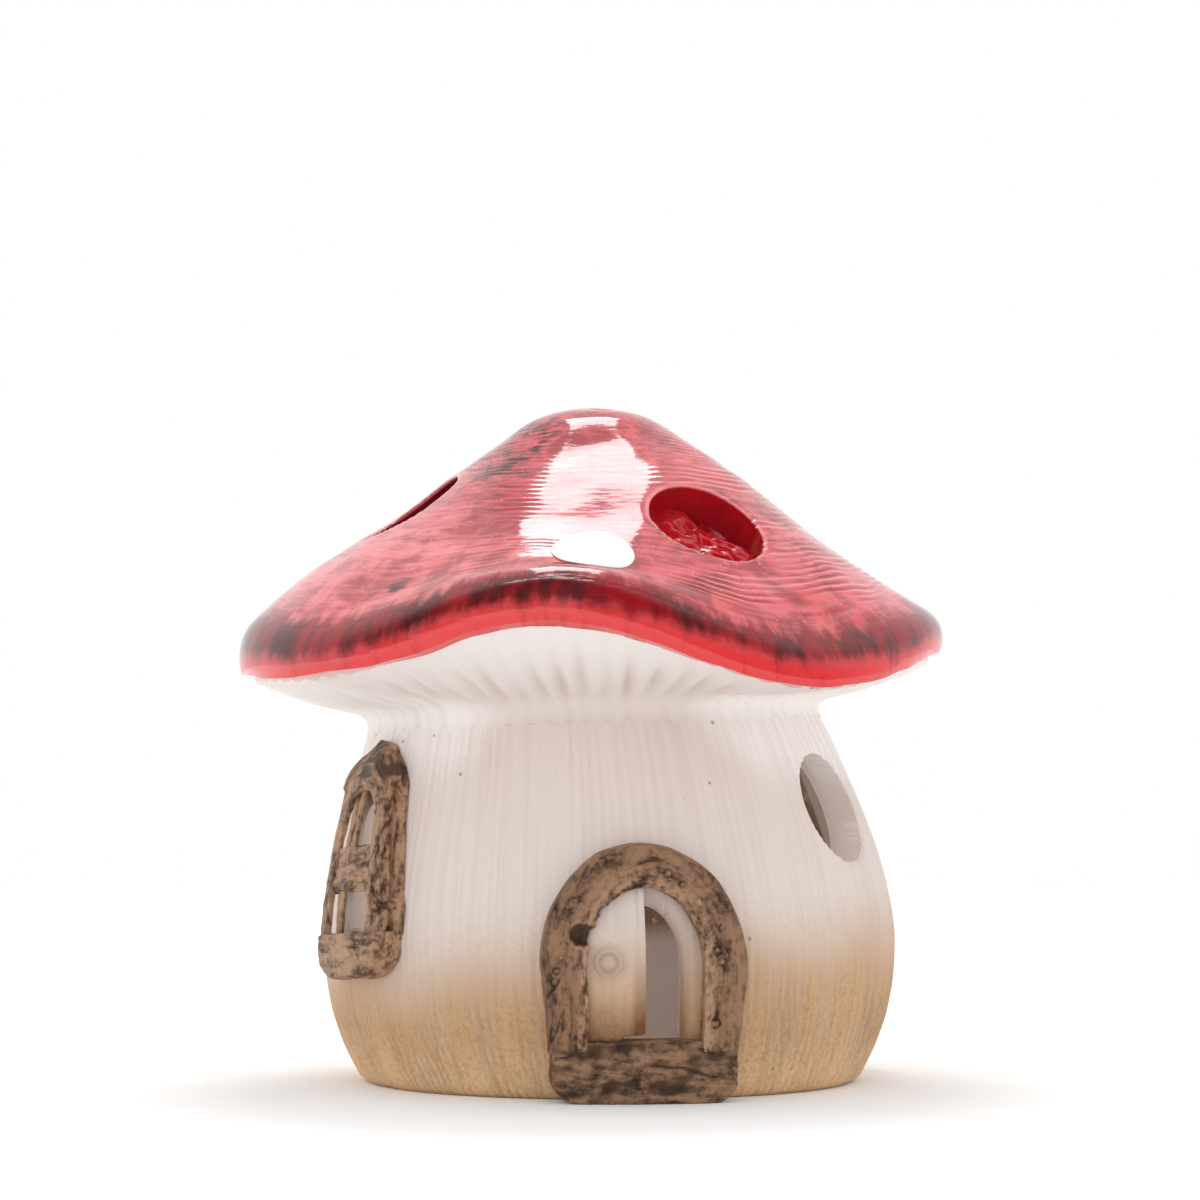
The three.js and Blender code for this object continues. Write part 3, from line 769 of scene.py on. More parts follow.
def clay_tone(recipe, place, cream):
    """Bare clay: paler under the cap as painted light, less so in front of the neck as painted shade, sandy
    brown towards the foot, with a few dark specks.

    Gives its colour, its relief and the height that the sandy dusting goes by.
    """
    paint = house().finishes
    across, along, height = recipe.parts(place)
    # Painted light: the clay is paler towards the neck and on the gills, for light bounced up from the floor;
    # in front, painted shade under the cap keeps the neck darker.
    bounce_lit_pale = recipe.mask(height, 38 * MM, 47 * MM)
    above_neck_shade = recipe.mask(height, 49 * MM, 60 * MM)
    in_front = recipe.mask(along, -27 * MM, -31.5 * MM)
    painted_neck_shade = recipe.maths("MULTIPLY", in_front, recipe.maths("SUBTRACT", bounce_lit_pale, above_neck_shade))
    base = recipe.mix(recipe.maths("SUBTRACT", bounce_lit_pale, painted_neck_shade), cream, paint.bounce_lit_pale)
    dust = recipe.clouds(place, 1500, 5, 0.0, 0.75)
    wander = recipe.maths("MULTIPLY", recipe.maths("SUBTRACT", recipe.clouds(place, 60, 3), 0.5), 9 * MM)
    ragged = recipe.maths("MULTIPLY", recipe.maths("SUBTRACT", dust, 0.5), 14 * MM)
    # Painted light: the sandy brown reaches less high on the left, so the left belly stays lighter.
    height_lit_left = recipe.maths("ADD", height, recipe.maths("MULTIPLY", across, -0.07))
    edge = recipe.maths("ADD", recipe.maths("ADD", height_lit_left, wander), ragged)
    # Painted light: the sand is lighter at the very foot, against the floor's contact shade.
    sandy = recipe.mix(recipe.mask(height, 9 * MM, 1 * MM), paint.sand, paint.sand_painted_light)
    base = recipe.mix(recipe.mask(edge, 27 * MM, 10 * MM), base, sandy)
    grains = recipe.maths("MULTIPLY", recipe.mask(dust, 0.47, 0.6), recipe.mask(edge, 26 * MM, 12 * MM))
    base = recipe.mix(recipe.maths("MULTIPLY", grains, 0.25), base, paint.umber)
    cells = recipe.cells(place, 240)
    near = recipe.mask(cells.outputs["Distance"], 0.075, 0.045)
    picked = recipe.node("ShaderNodeSeparateColor", {0: cells.outputs["Color"]}).outputs[0]
    specks = recipe.maths("MULTIPLY", recipe.maths("MULTIPLY", near, recipe.mask(picked, 0.66, 0.7)), 0.6)
    base = recipe.mix(specks, base, paint.umber)
    return base, recipe.maths("SUBTRACT", recipe.maths("MULTIPLY", dust, 0.3), specks), edge


def combed_tone(recipe, base, relief, edge):
    """Upright grain on bare clay: painted shade in tan along its lines and combed grooves, and brown rubbed
    into it at the foot.
    """
    paint = house().finishes
    lines = recipe.kept("grain", "Vector")
    grain = recipe.clouds(recipe.stretched(lines, (1, 1, 0.02)), 900, 3, 0.0, 0.6)
    shade = recipe.maths("MULTIPLY", recipe.mask(grain, 0.58, 0.36), 0.24)
    base = recipe.mix(shade, base, paint.tan)
    ribs = recipe.kept("ribs")
    # Painted shade in tan in the combed grooves.
    base = recipe.mix(recipe.maths("MULTIPLY", ribs, 0.22), base, paint.tan)
    at_foot = recipe.mask(edge, 22 * MM, 4 * MM)
    scratch = recipe.mask(recipe.clouds(recipe.stretched(lines, (1, 1, 0.05)), 1300, 3, 0.0, 0.6), 0.52, 0.36)
    rubbed = recipe.maths("ADD", recipe.maths("MULTIPLY", ribs, 0.3), recipe.maths("MULTIPLY", scratch, 0.2))
    base = recipe.mix(recipe.maths("MULTIPLY", rubbed, at_foot), base, paint.umber)
    return base, recipe.maths("ADD", relief, recipe.maths("MULTIPLY", grain, 0.9))


def stem_clay():
    paint = house().finishes
    recipe = Recipe("stem_clay")
    place = recipe.place()
    base, relief = combed_tone(recipe, *clay_tone(recipe, place, paint.cream))
    glazed = recipe.mask(recipe.kept("inside"), 0.6, 0.9)
    base = recipe.mix(glazed, base, paint.inner)
    # Painted shade: dark smears on the glazed inside, opposite the door and beside the rear window.
    smeared = recipe.mask(recipe.clouds(place, 500, 5, 0.4, 0.7), 0.28, 0.5)
    soot_and_shade = recipe.maths("MULTIPLY", recipe.maths("MULTIPLY", smeared, recipe.kept("soot_and_shade")), glazed)
    base = recipe.mix(recipe.maths("MULTIPLY", soot_and_shade, 0.9), base, paint.bark)
    recipe.bump(relief, 0.12 * MM)
    return recipe.done(base, recipe.span(glazed, 0.72, 0.16), Specular_IOR_Level=0.25)


def gill_clay():
    paint = house().finishes
    recipe = Recipe("gill_clay")
    base, relief, _ = clay_tone(recipe, recipe.place(), paint.cream)
    # Painted shade: tan in the grooves between the gills.
    painted_groove_shade = recipe.maths("MULTIPLY", recipe.kept("groove"), 0.48)
    base = recipe.mix(painted_groove_shade, base, paint.tan)
    recipe.bump(relief, 0.05 * MM)
    return recipe.done(base, 0.72)


def leaf_clay():
    """The wall's clay, a little darker, with brown rubbed in at the bottom and free edges, and painted shade
    round the button.
    """
    paint = house().finishes
    recipe = Recipe("leaf_clay")
    place = recipe.place()
    cream = [channel * 0.93 for channel in paint.cream]
    base, relief = combed_tone(recipe, *clay_tone(recipe, place, cream))
    cloudy = recipe.span(recipe.clouds(place, 700, 4, 0.3, 0.65), 0.55, 1.35)
    stain_and_shade = recipe.maths("MINIMUM", recipe.maths("MULTIPLY", recipe.kept("stain_and_shade"), cloudy), 1.0)
    base = recipe.mix(stain_and_shade, base, paint.umber)
    recipe.bump(relief, 0.08 * MM)
    return recipe.done(base, 0.62, Specular_IOR_Level=0.25)


def bark_clay():
    """Wood-look clay: a brown wash that lies dark in the cracks and pits, and thin on the ridges."""
    paint = house().finishes
    recipe = Recipe("bark_clay")
    place = recipe.place()
    grain = recipe.kept("grain", "Vector")
    relief = recipe.kept("relief")
    fibres = recipe.clouds(recipe.stretched(grain, (0.3, 1, 1)), 750, 6, 0.5, 0.65)
    pits = recipe.clouds(place, 1200, 5, 0.0, 0.65)
    patches = recipe.clouds(place, 300, 4, 0.5)
    tone = recipe.maths("ADD", recipe.maths("MULTIPLY", fibres, 0.5), recipe.maths("MULTIPLY", pits, 0.3))
    tone = recipe.maths("ADD", tone, recipe.maths("MULTIPLY", patches, 0.2))
    base = recipe.mix(recipe.mask(tone, 0.36, 0.57), paint.bark_dark, paint.bark)
    worn = recipe.maths("MULTIPLY", recipe.mask(tone, 0.42, 0.58), recipe.kept("worn"))
    base = recipe.mix(worn, base, paint.bark_light)
    rubbed = recipe.maths("MULTIPLY", recipe.mask(relief, 0.15, 0.8), 0.6)
    base = recipe.mix(rubbed, base, paint.bark_light)
    sunk = recipe.maths("MULTIPLY", recipe.mask(relief, -0.4, -1.0), 0.85)
    base = recipe.mix(sunk, base, paint.bark_dark)
    recipe.bump(recipe.maths("ADD", fibres, pits), 0.1 * MM)
    return recipe.done(base, recipe.span(pits, 0.36, 0.64), Specular_IOR_Level=0.3)


def white_glaze():
    recipe = Recipe("fired_white")
    place = recipe.place()
    cloudy = recipe.clouds(place, 400, 3)
    base = recipe.mix(recipe.mask(cloudy, 0.6, 0.8), house().finishes.white, (0.86, 0.83, 0.82))
    recipe.bump(cloudy, 0.02 * MM)
    return recipe.done(base, recipe.span(cloudy, 0.06, 0.16))


def finish_named(name, make):
    return bpy.data.materials.get(name) or make()


# Stem


def porthole_distance(points):
    """Distance of points from the round window's axis."""
    stem = house().stem
    out = outward(stem.porthole_bearing)
    along = points[:, 0] * -out.y + points[:, 1] * out.x
    facing = points[:, 0] * out.x + points[:, 1] * out.y
    distance = np.hypot(along, points[:, 2] - (stem.height - stem.porthole_drop))
    return np.where(facing > 0, distance, stem.belly_radius)


def doorway_distance(points):
    """Distance of points outside the doorway's outline, seen straight on."""
    door = house().door
    out = outward(door.bearing)
    along = points[:, 0] * -out.y + points[:, 1] * out.x
    facing = points[:, 0] * out.x + points[:, 1] * out.y
    half, rise = door.width / 2 - door.lip, door.arch_rise - door.lip
    over = np.maximum(points[:, 2] - door.springing, 0)
    distance = (np.hypot(along / half, over / rise) - 1) * half
    return np.where(facing > 0, distance, door.width)


def rounded_edge(distance, rounding):
    """Depth of a quarter-round edge, at a distance from where it ends."""
    left = np.clip(rounding - distance, 0, rounding)
    return rounding - np.sqrt(rounding**2 - left**2)


def stem_section():
    stem = house().stem
    foot_rounding = 0.9 * MM
    inner_foot = stem.foot_radius - stem.wall
    foot = [(inner_foot + foot_rounding, 0), (stem.foot_radius - foot_rounding, 0)]
    rows = [0.25 * foot_rounding, *np.linspace(foot_rounding, stem.height + 1.4 * MM, 58)]
    outer = [(float(stem_radius(z)) - foot_rounding * (1 - min(z / foot_rounding, 1)) ** 2, z) for z in rows]
    down = np.linspace(stem.height, foot_rounding, 16)
    inner = [(float(stem_radius(z)) - stem.wall, z) for z in down]
    return [*foot, *outer, *inner]


def around_wall(points):
    """Points moved out to the belly's radius, so that a grain runs straight up the wall."""
    bearing = np.arctan2(points[:, 0], points[:, 1])
    reach = house().stem.belly_radius
    return np.column_stack((reach * np.sin(bearing), reach * np.cos(bearing), points[:, 2]))


def ribs_at(points):
    """How deep in a combed line of the wall each point is, from 0 to 1."""
    places = around_wall(points)
    bearing = np.arctan2(points[:, 0], points[:, 1])
    wander = 2.4 * clouds(places, (9 * MM, 9 * MM, 40 * MM))
    slant = 1.4 * np.maximum(13 * MM - points[:, 2], 0) / MM
    lines = 0.5 - 0.5 * np.cos(house().stem.comb_lines * bearing + wander + slant)
    strength = 0.4 + 1.5 * clouds(places + 5 * MM, (5 * MM, 5 * MM, 16 * MM))
    return lines * np.clip(strength, 0.08, 1)


def painted_inner_shade_at(points):
    """Painted shade inside the wall: dark smears opposite the door, and beside the rear window."""
    bearing = bearing_of(points) % 360
    z = points[:, 2]
    behind = smooth(np.abs(bearing - 168), 17, 14) * smooth(z, 19 * MM, 20 * MM) * smooth(z, 35 * MM, 32 * MM)
    beside = smooth(np.abs(bearing - 113), 9, 6) * smooth(z, 24 * MM, 27 * MM) * smooth(z, 47 * MM, 44 * MM)
    return np.maximum(behind, beside)


def comb_stem(body):
    """The combed grain, the uneven hand-built face and the rounded edges of the openings."""
    stem, door = house().stem, house().door
    points = points_of(body)
    radius = radius_of(points)
    outer = smooth(stem_radius(points[:, 2]) - radius, 0.6 * stem.wall, 0.3 * stem.wall)
    fading = smooth(points[:, 2], stem.height, stem.height - 9 * MM)
    fine = np.abs(clouds(around_wall(points), (1.1 * MM, 1.1 * MM, 30 * MM)))
    combed = stem.comb_depth * (0.3 + 0.7 * smooth(points[:, 2], 20 * MM, 8 * MM)) * ribs_at(points)
    uneven = clouds(points, 16 * MM) * 0.22 * MM
    clear = smooth(porthole_distance(points) - stem.porthole / 2, 0, 2.5 * MM)
    depth = outer * fading * (stem.grain_depth * (1 - fine) + combed + uneven) * clear
    standing = smooth(points[:, 2], 0, 3 * MM)
    carve(body, depth * standing)
    points = points_of(body)
    sunk = rounded_edge(doorway_distance(points), door.lip)
    sunk = np.maximum(sunk, rounded_edge(porthole_distance(points) - stem.porthole / 2, 0.6 * MM))
    inward = points * (1, 1, 0) / np.maximum(radius, MM)[:, None]
    set_points(body, points - inward * (outer * sunk)[:, None])


def wall_tool(outline, bearing):
    """A flat outline pushed through the wall at a bearing."""
    stem = house().stem
    tool = slab("wall_tool", outline, stem.belly_radius + stem.wall, stem.neck_radius - 3 * stem.wall)
    tool.rotation_euler.z = bearing
    return tool


def pane_outline(inset, count=24):
    window = house().window
    top = pane_top()
    half = window.width / 2 - window.jamb - inset
    return arch(half, sill_top() + inset, top - window.pane_arch, window.pane_arch - inset, count)


def build_stem():
    stem, door = house().stem, house().door
    body = turned("bellied_stem", stem_section(), 960)
    comb_stem(body)
    half = door.width / 2 - door.lip
    doorway = arch(half, door.step_height, door.springing, door.arch_rise - door.lip)
    tools = [wall_tool(doorway, door.bearing)]
    middle = stem.height - stem.porthole_drop
    circle = arc((0, middle), (stem.porthole / 2, stem.porthole / 2), 0, 360, 96)[:-1]
    tools.append(wall_tool(circle, stem.porthole_bearing))
    for bearing in WINDOW_BEARINGS.values():
        panes = flared(np.array(pane_outline(house().window.lip)))
        tools.append(wall_tool(panes, math.radians(bearing)))
    cut(body, *tools)
    points = points_of(body)
    radius = radius_of(points)
    keep_values(body, "inside", np.clip((stem_radius(points[:, 2]) - radius) / stem.wall, 0, 1))
    keep_values(body, "soot_and_shade", painted_inner_shade_at(points))
    keep_values(body, "ribs", ribs_at(points) * smooth(points[:, 2], stem.height, stem.height - 9 * MM))
    keep_vectors(body, "grain", around_wall(points))
    lean_over(body)
    finish(body, finish_named("stem_clay", stem_clay), "cream_clay", "stem_wall")


# Gills


def gill_section(curves):
    """Collar, hidden seat, fillet from the stem to the gills, gills, and the plate's hidden top."""
    stem, gills = house().stem, house().gills
    slip = 0.3 * MM
    collar_outer = stem.neck_radius - stem.wall - slip
    collar_inner = collar_outer - gills.collar_wall
    collar_low = stem.height - gills.collar_depth
    seam = stem.height - 2.4 * MM
    seam_radius = float(stem_radius(seam))
    flare = curves.neck + 3.9 * MM
    collar = [(collar_inner, collar_low), (collar_outer, collar_low), (collar_outer, curves.seat)]
    hidden = [(curves.neck - 0.8 * MM, curves.seat), (seam_radius - 0.6 * MM, seam)]
    start = (seam_radius + 0.06 * MM, seam)
    fillet = bowed(start, (curves.neck, curves.seat), (flare, curves.gill_height(flare)), 12)
    edge = curves.plate_radius + 0.4 * MM
    under = [(float(r), float(curves.gill_height(r))) for r in np.linspace(flare, edge, 30)]
    top = [(r, float(curves.gill_height(r)) + gills.plate) for r in np.linspace(edge, collar_inner, 8)]
    return [*collar, *hidden, *fillet, *under, *[(float(r), z) for r, z in top]]


def groove_at(points, curves):
    """How deep in a groove between two gills each point is, from 0 to 1."""
    bearing = np.arctan2(points[:, 0], -points[:, 1])
    radius = radius_of(points)
    circle = np.column_stack((np.sin(bearing), np.cos(bearing), radius / (150 * MM)))
    wander = 1.1 * clouds(circle, 0.16)
    phase = house().gills.count * bearing + wander
    scallop = (0.5 - 0.5 * np.cos(phase)) ** 1.2
    strength = (0.65 + 0.9 * clouds(circle + 3, 0.07)) * (1 - 0.3 * smooth(circle[:, 0], 0, 0.6))
    begins = smooth(radius, curves.neck - 0.2 * MM, curves.neck + 2.2 * MM)
    fades = 1 - 0.5 * smooth(radius, curves.neck + 4 * MM, curves.plate_radius)
    return scallop * np.clip(strength, 0.15, 1.2) * begins * fades


def shape_gills(plate, curves):
    stem, gills = house().stem, house().gills
    points = points_of(plate)
    radius = radius_of(points)
    under = smooth(curves.gill_height(radius) + gills.plate / 2 - points[:, 2], 0, 0.3 * MM)
    under = under * smooth(radius, curves.neck, curves.neck + 0.4 * MM)
    groove = groove_at(points, curves) * under
    keep_values(plate, "groove", groove * smooth(radius, curves.plate_radius, curves.neck + 5 * MM))
    points[:, 2] += gills.depth * groove + 0.12 * MM * clouds(points, 9 * MM) * under
    to_right = points[:, 0] / np.maximum(radius, MM)
    out = np.clip((radius - curves.neck) / (curves.plate_radius - curves.neck), 0, 1)
    at_neck = gills.tilt * to_right + gills.cup * to_right**2
    at_lip = -gills.hang * to_right**2
    tilt = at_neck + (at_lip - at_neck) * out
    tilt *= smooth(radius, curves.neck - 1.5 * MM, curves.neck)
    points[:, 2] -= gills.sag * (1 - 0.3 * to_right) * np.sin(math.pi * out) * under
    on_stem = smooth(points[:, 2], stem.height + 1.5 * MM, stem.height - 1 * MM)
    spread = (stem_radius(points[:, 2] + tilt) - stem_radius(points[:, 2])) * on_stem
    points[:, :2] *= (1 + spread / np.maximum(radius, MM))[:, None]
    points[:, 2] += tilt + curves.lift(points[:, 0], points[:, 1])
    set_points(plate, points)


def build_gills():
    curves = CapCurves()
    plate = turned("ribbed_gills", gill_section(curves), 8 * house().gills.count)
    shape_gills(plate, curves)
    lean_over(plate)
    finish(plate, finish_named("gill_clay", gill_clay), "cream_clay", "gill_plate")


# Cap


def cap_section(curves):
    cap, gills = house().cap, house().gills
    touch = math.pi / 2 - float(curves.tilt(curves.rim_centre))
    roll = arc(
        (curves.rim_centre, curves.rim_height), (cap.roll, cap.roll),
        math.degrees(touch), -math.degrees(cap.turn_under), 22,
    )
    cone = [(float(r), float(curves.height(r))) for r in np.linspace(0, roll[0][0], 226)[:-1]]
    room = curves.plate_radius + 0.1 * MM
    room_top = curves.lip_height + gills.plate + 0.3 * MM
    lip = [(curves.lip_radius - cap.lip / 2, curves.lip_height), (room, curves.lip_height), (room, room_top)]
    inside = [
        (float(r), float(curves.height(r) - cap.wall / np.cos(curves.tilt(r))))
        for r in np.linspace(curves.rim_centre - 4 * MM, 0, 24)
    ]
    return [*cone, *roll, *lip, *inside]


def comb_at(points, curves):
    """Where each point of the cap's face is in the brushed lines: -1 on a ridge, 1 in a groove."""
    cap = house().cap
    radius = radius_of(points)
    slant = radius / np.cos(curves.tilt(radius))
    wander = 1.3 * clouds(points, (12 * MM, 12 * MM, 30 * MM)) + 0.35 * clouds(points + 2, 4 * MM)
    lines = np.cos(2 * math.pi * (slant / cap.comb_pitch + wander))
    strokes = np.column_stack((points[:, 0], points[:, 1], 5 * slant))
    breaks = smooth(clouds(strokes, 12 * MM), -0.4, 0.15)
    to_right = smooth(points[:, 0], 6 * MM, 15 * MM)
    at_left_edge = 0.5 * hump(points[:, 0], -11 * MM, 4 * MM)
    behind = 0.5 * smooth(points[:, 1], 0, 14 * MM)
    elsewhere = 0.02
    strength = breaks * np.clip(to_right + at_left_edge + behind + elsewhere, 0, 1)
    low, high = curves.rim_centre - 2 * MM, curves.rim_centre + 1 * MM
    return lines * strength * smooth(radius, 7 * MM, 13 * MM) * smooth(radius, high, low)


def under_face(points, curves):
    """How far under the cap's outer face each point is, and its height with the waves taken out."""
    radius = radius_of(points)
    level = curves.level(points)
    drop = (curves.height(radius) - level) * np.cos(curves.tilt(radius))
    return np.where(radius < curves.rim_centre, np.maximum(drop, 0), 0), level


def hole_distance(points, curves):
    """Distance of points outside the nearest hole of the cap."""
    nearest = np.full(len(points), house().cap.radius)
    for bearing, from_rim in all_holes():
        centre, normal = curves.place(bearing, from_rim)
        offset = points - np.array(centre)
        high = offset @ np.array(normal)
        across = np.sqrt(np.maximum((offset**2).sum(axis=1) - high**2, 0))
        near = np.abs(high) < 2 * house().cap.wall
        nearest = np.where(near, np.minimum(nearest, across - house().cap.hole / 2), nearest)
    return nearest


def lip_runs(points, curves):
    """How far the glaze has run down at the lip."""
    bearing = bearing_of(points)
    drop = sum(run * hump(bearing, towards, sweep) for run, towards, sweep in LIP_RUNS)
    drop = drop + 0.25 * MM * clouds(points, 5 * MM)
    at_lip = smooth(points[:, 2], curves.rim_height, curves.lip_height)
    return drop * at_lip * (radius_of(points) > curves.plate_radius)


def shape_cap(shell, curves):
    cap = house().cap
    points = points_of(shell)
    radius = radius_of(points)
    depth = (curves.height(radius) - points[:, 2]) * np.cos(curves.tilt(radius))
    face = np.where(radius < curves.rim_centre, smooth(depth, 0.5 * cap.wall, 0.2 * cap.wall), 1)
    uneven = 0.35 * MM * clouds(points, 17 * MM) + 0.12 * MM * clouds(points + 4, 6 * MM)
    dimple = np.hypot(points[:, 0] - 1.6 * MM, points[:, 1] + 6.0 * MM)
    dent = 0.3 * MM * smooth(dimple, 2.8 * MM, 0.8 * MM)
    easing = smooth(radius, curves.lip_radius, curves.rim_centre)
    carve(shell, face * (0.06 * MM + uneven * easing + dent + cap.comb_depth * comb_at(points, curves)))
    points = points_of(shell)
    points[:, 2] += curves.rise(*points.T) - lip_runs(points, curves)
    points[:, 2] -= face * rounded_edge(hole_distance(points, curves), cap.hole_ease)
    set_points(shell, points)


def all_holes():
    return [*CAP_HOLES, *[(bearing + BACK, from_rim) for bearing, from_rim in CAP_HOLES]]


def hole_tool(curves, bearing, from_rim):
    cap = house().cap
    centre, normal = curves.place(bearing, from_rim)
    start_fresh()
    bpy.ops.mesh.primitive_cylinder_add(
        vertices=96, radius=cap.hole / 2, depth=5 * cap.wall,
        location=centre, rotation=normal.to_track_quat("Z", "Y").to_euler(),
    )
    return bpy.context.object


def hole_frame(curves, bearing, from_rim):
    """A hole's middle on the cap's face, and its directions: to the right, uphill and out."""
    centre, normal = curves.place(bearing, from_rim)
    right = Vector((0, 0, 1)).cross(normal).normalized()
    return np.array(centre), np.array(right), np.array(normal.cross(right)), np.array(normal)


def glaze_pool(curves, bearing, from_rim):
    """Glaze that ran down inside a hole and set there, lumpy, with a gap left at its upper right."""
    cap = house().cap
    start_fresh()
    bpy.ops.mesh.primitive_uv_sphere_add(segments=80, ring_count=40, radius=1)
    pool = bpy.context.object
    ball = points_of(pool)
    towards = np.degrees(np.arctan2(ball[:, 1], ball[:, 0]))
    gap = cap.pool_gap * smooth(np.abs(towards - 38), 60, 15)
    reach = cap.hole / 2 + 0.5 * MM - gap
    across = np.minimum(np.hypot(ball[:, 0], ball[:, 1]), 1)
    flat = ball[:, :2] * reach[:, None]
    spread = np.column_stack((flat, np.full(len(flat), bearing * MM)))
    lumps = 0.7 * MM * clouds(spread, 2.6 * MM) + 0.5 * MM * clouds(spread + 1, 1.3 * MM)
    high = 0.5 * MM * np.sign(ball[:, 2]) * (1 - across**8) + lumps * (ball[:, 2] > 0) * (1 - across**8)
    centre, right, uphill, out = hole_frame(curves, bearing, from_rim)
    high = high - cap.pool_depth
    set_points(pool, centre + flat[:, :1] * right + flat[:, 1:] * uphill + high[:, None] * out)
    return pool


def keep_glaze_values(shell, curves):
    """Leaves at each point where it is in the glaze, and how thinly glazed, smoked or brushed it is. The
    pinker left flank is a painted reflection, and the walls of the left holes get painted shade.
    """
    cap = house().cap
    points = points_of(shell)
    depth, level = under_face(points, curves)
    from_hole = hole_distance(points, curves)
    inner = (depth > 0.9 * cap.wall) & (from_hole > 0.7 * MM)
    keep_values(shell, "inside", depth + cap.wall * inner)
    keep_values(shell, "level", level - curves.rim_height)
    keep_values(shell, "comb", comb_at(points, curves) * smooth(depth, 0.5 * MM, 0.1 * MM))
    keep_values(shell, "hole_edge", from_hole)
    radius = radius_of(points)
    to_left = smooth(points[:, 0], 10 * MM, -10 * MM)
    in_front = smooth(points[:, 1], 4 * MM, -6 * MM)
    thick = hump(points[:, 0], -11 * MM, 7 * MM) * in_front * smooth(radius, 40 * MM, 32 * MM)
    smoky_and_shaded = (0.3 + 0.5 * to_left) * smooth(radius, 36 * MM, 14 * MM) + 0.4 * thick
    smoky_and_shaded *= 0.55 + 0.45 * smooth(radius, 6 * MM, 14 * MM)
    # Painted shade in the walls of the left holes.
    left_hole_shade = smooth(points[:, 0], -12 * MM, -18 * MM)
    keep_values(shell, "smoky_and_shaded", np.where(depth > 0.3 * MM, left_hole_shade, np.minimum(smoky_and_shaded, 1)))
    # Thinly glazed places, with more of them on the left as a painted reflection.
    outer = smooth(radius, 36 * MM, 43 * MM)
    thin_glaze_and_left_sheen = (0.5 + 0.3 * to_left) * (0.62 + 0.38 * smooth(radius, 8 * MM, 20 * MM)) * (1 - 0.22 * outer)
    keep_values(shell, "thin_glaze_and_left_sheen", thin_glaze_and_left_sheen * (1 - 0.6 * thick))
    right_front = smooth(points[:, 0], 0, 22 * MM) * smooth(points[:, 0], 44 * MM, 32 * MM)
    keep_values(shell, "band_lift", 0.9 * MM + 1.4 * MM * right_front)


def build_cap():
    curves = CapCurves()
    shell = turned("red_cap", cap_section(curves), 288)
    shape_cap(shell, curves)
    cut(shell, *[hole_tool(curves, *hole) for hole in all_holes()])
    combine(shell, "UNION", [glaze_pool(curves, *hole) for hole in all_holes()])
    edit(shell)
    bpy.ops.mesh.remove_doubles(threshold=0.02 * MM)
    bpy.ops.mesh.dissolve_degenerate(threshold=0.02 * MM)
    bpy.ops.object.mode_set(mode="OBJECT")
    keep_glaze_values(shell, curves)
    lean_over(shell)
    finish(shell, finish_named("fired_red", red_glaze), "red_glaze", "cap_shell")


def build_spot(name, node, bearing, from_rim):
    """A round drop of thick white glaze that lies on the cap's face."""
    cap = house().cap
    curves = CapCurves()
    centre, right, uphill, out = hole_frame(curves, bearing, from_rim)
    drop = flattened_ball(name, cap.spot / 2, cap.spot_raise, 72)
    flat = points_of(drop)
    wobble = 1 + 0.05 * clouds(flat, 4 * MM)
    points = centre + np.outer(flat[:, 0] * wobble, right) + np.outer(flat[:, 1] * wobble, uphill)
    points[:, 2] = curves.face(points[:, 0], points[:, 1]) + flat[:, 2] / out[2]
    set_points(drop, points)
    lean_over(drop)
    finish(drop, finish_named("fired_white", white_glaze), "white_glaze", node)


# Wood-look strips on the wall


def straight_path(points):
    """Grain that runs up a strip."""
    return points[:, 2], points[:, 0]


def level_path(points):
    """Grain that runs along a strip."""
    return points[:, 0], points[:, 2]


def arched_path(half, springing, rise):
    """Grain that follows one jamb up, the arch over and the other jamb down."""

    def path(points):
        along, over = points[:, 0], points[:, 2] - springing
        above = np.maximum(over, 0)
        turn = np.arctan2(above / rise, along / half)
        run = turn * (half + rise) / 2 + np.sign(along) * np.minimum(over, 0)
        return run, (np.hypot(along / half, above / rise) - 1) * half

    return path


def weather(strip, path, seed, worn=0.3, blisters=(), knots=(), depth=1.0, soot_and_shade=0.0):
    """Cracks, pits, blisters and knots that follow the grain of a strip, and its rubbed places. The last
    value darkens the finish by lowering the kept relief: a stain on the threshold, painted shade on the
    window surrounds, and a darker outer edge on the door surround.
    """
    points = points_of(strip)
    along, across = path(points)
    grain = np.column_stack((along, across, points[:, 1])) + seed * 20 * MM
    broad = clouds(grain, (9 * MM, 1.8 * MM, 1.8 * MM))
    pits = clouds(grain, (1.5 * MM, 0.8 * MM, 0.8 * MM))
    lumps = clouds(grain, 3.0 * MM)
    cracks = smooth(np.abs(clouds(grain + 1, (9 * MM, 2.2 * MM, 2.2 * MM))), 0.1, 0.0)
    relief = 0.7 * broad + 0.6 * pits + 0.5 * lumps - 0.9 * cracks * smooth(lumps, 0.3, -0.2)
    for u, z, radius in blisters:
        reach = np.hypot(points[:, 0] - u * MM, points[:, 2] - z * MM) / (radius * MM)
        relief += 1.6 * smooth(reach, 1.0, 0.2)
        relief -= 1.4 * smooth(np.abs(reach - 1.35), 0.5, 0)
    for u, z, wide, tall in knots:
        reach = np.hypot((points[:, 0] - u * MM) / wide, (points[:, 2] - z * MM) / tall) / MM
        relief += 1.2 * smooth(np.abs(reach - 1.1), 0.25, 0) - 4.0 * smooth(reach, 1.0, 0.7)
    carve(strip, -0.15 * MM * depth * relief)
    keep_vectors(strip, "grain", grain)
    keep_values(strip, "relief", np.clip(relief / 1.6 - soot_and_shade, -1, 1))
    keep_values(strip, "worn", np.broadcast_to(worn, len(points)))


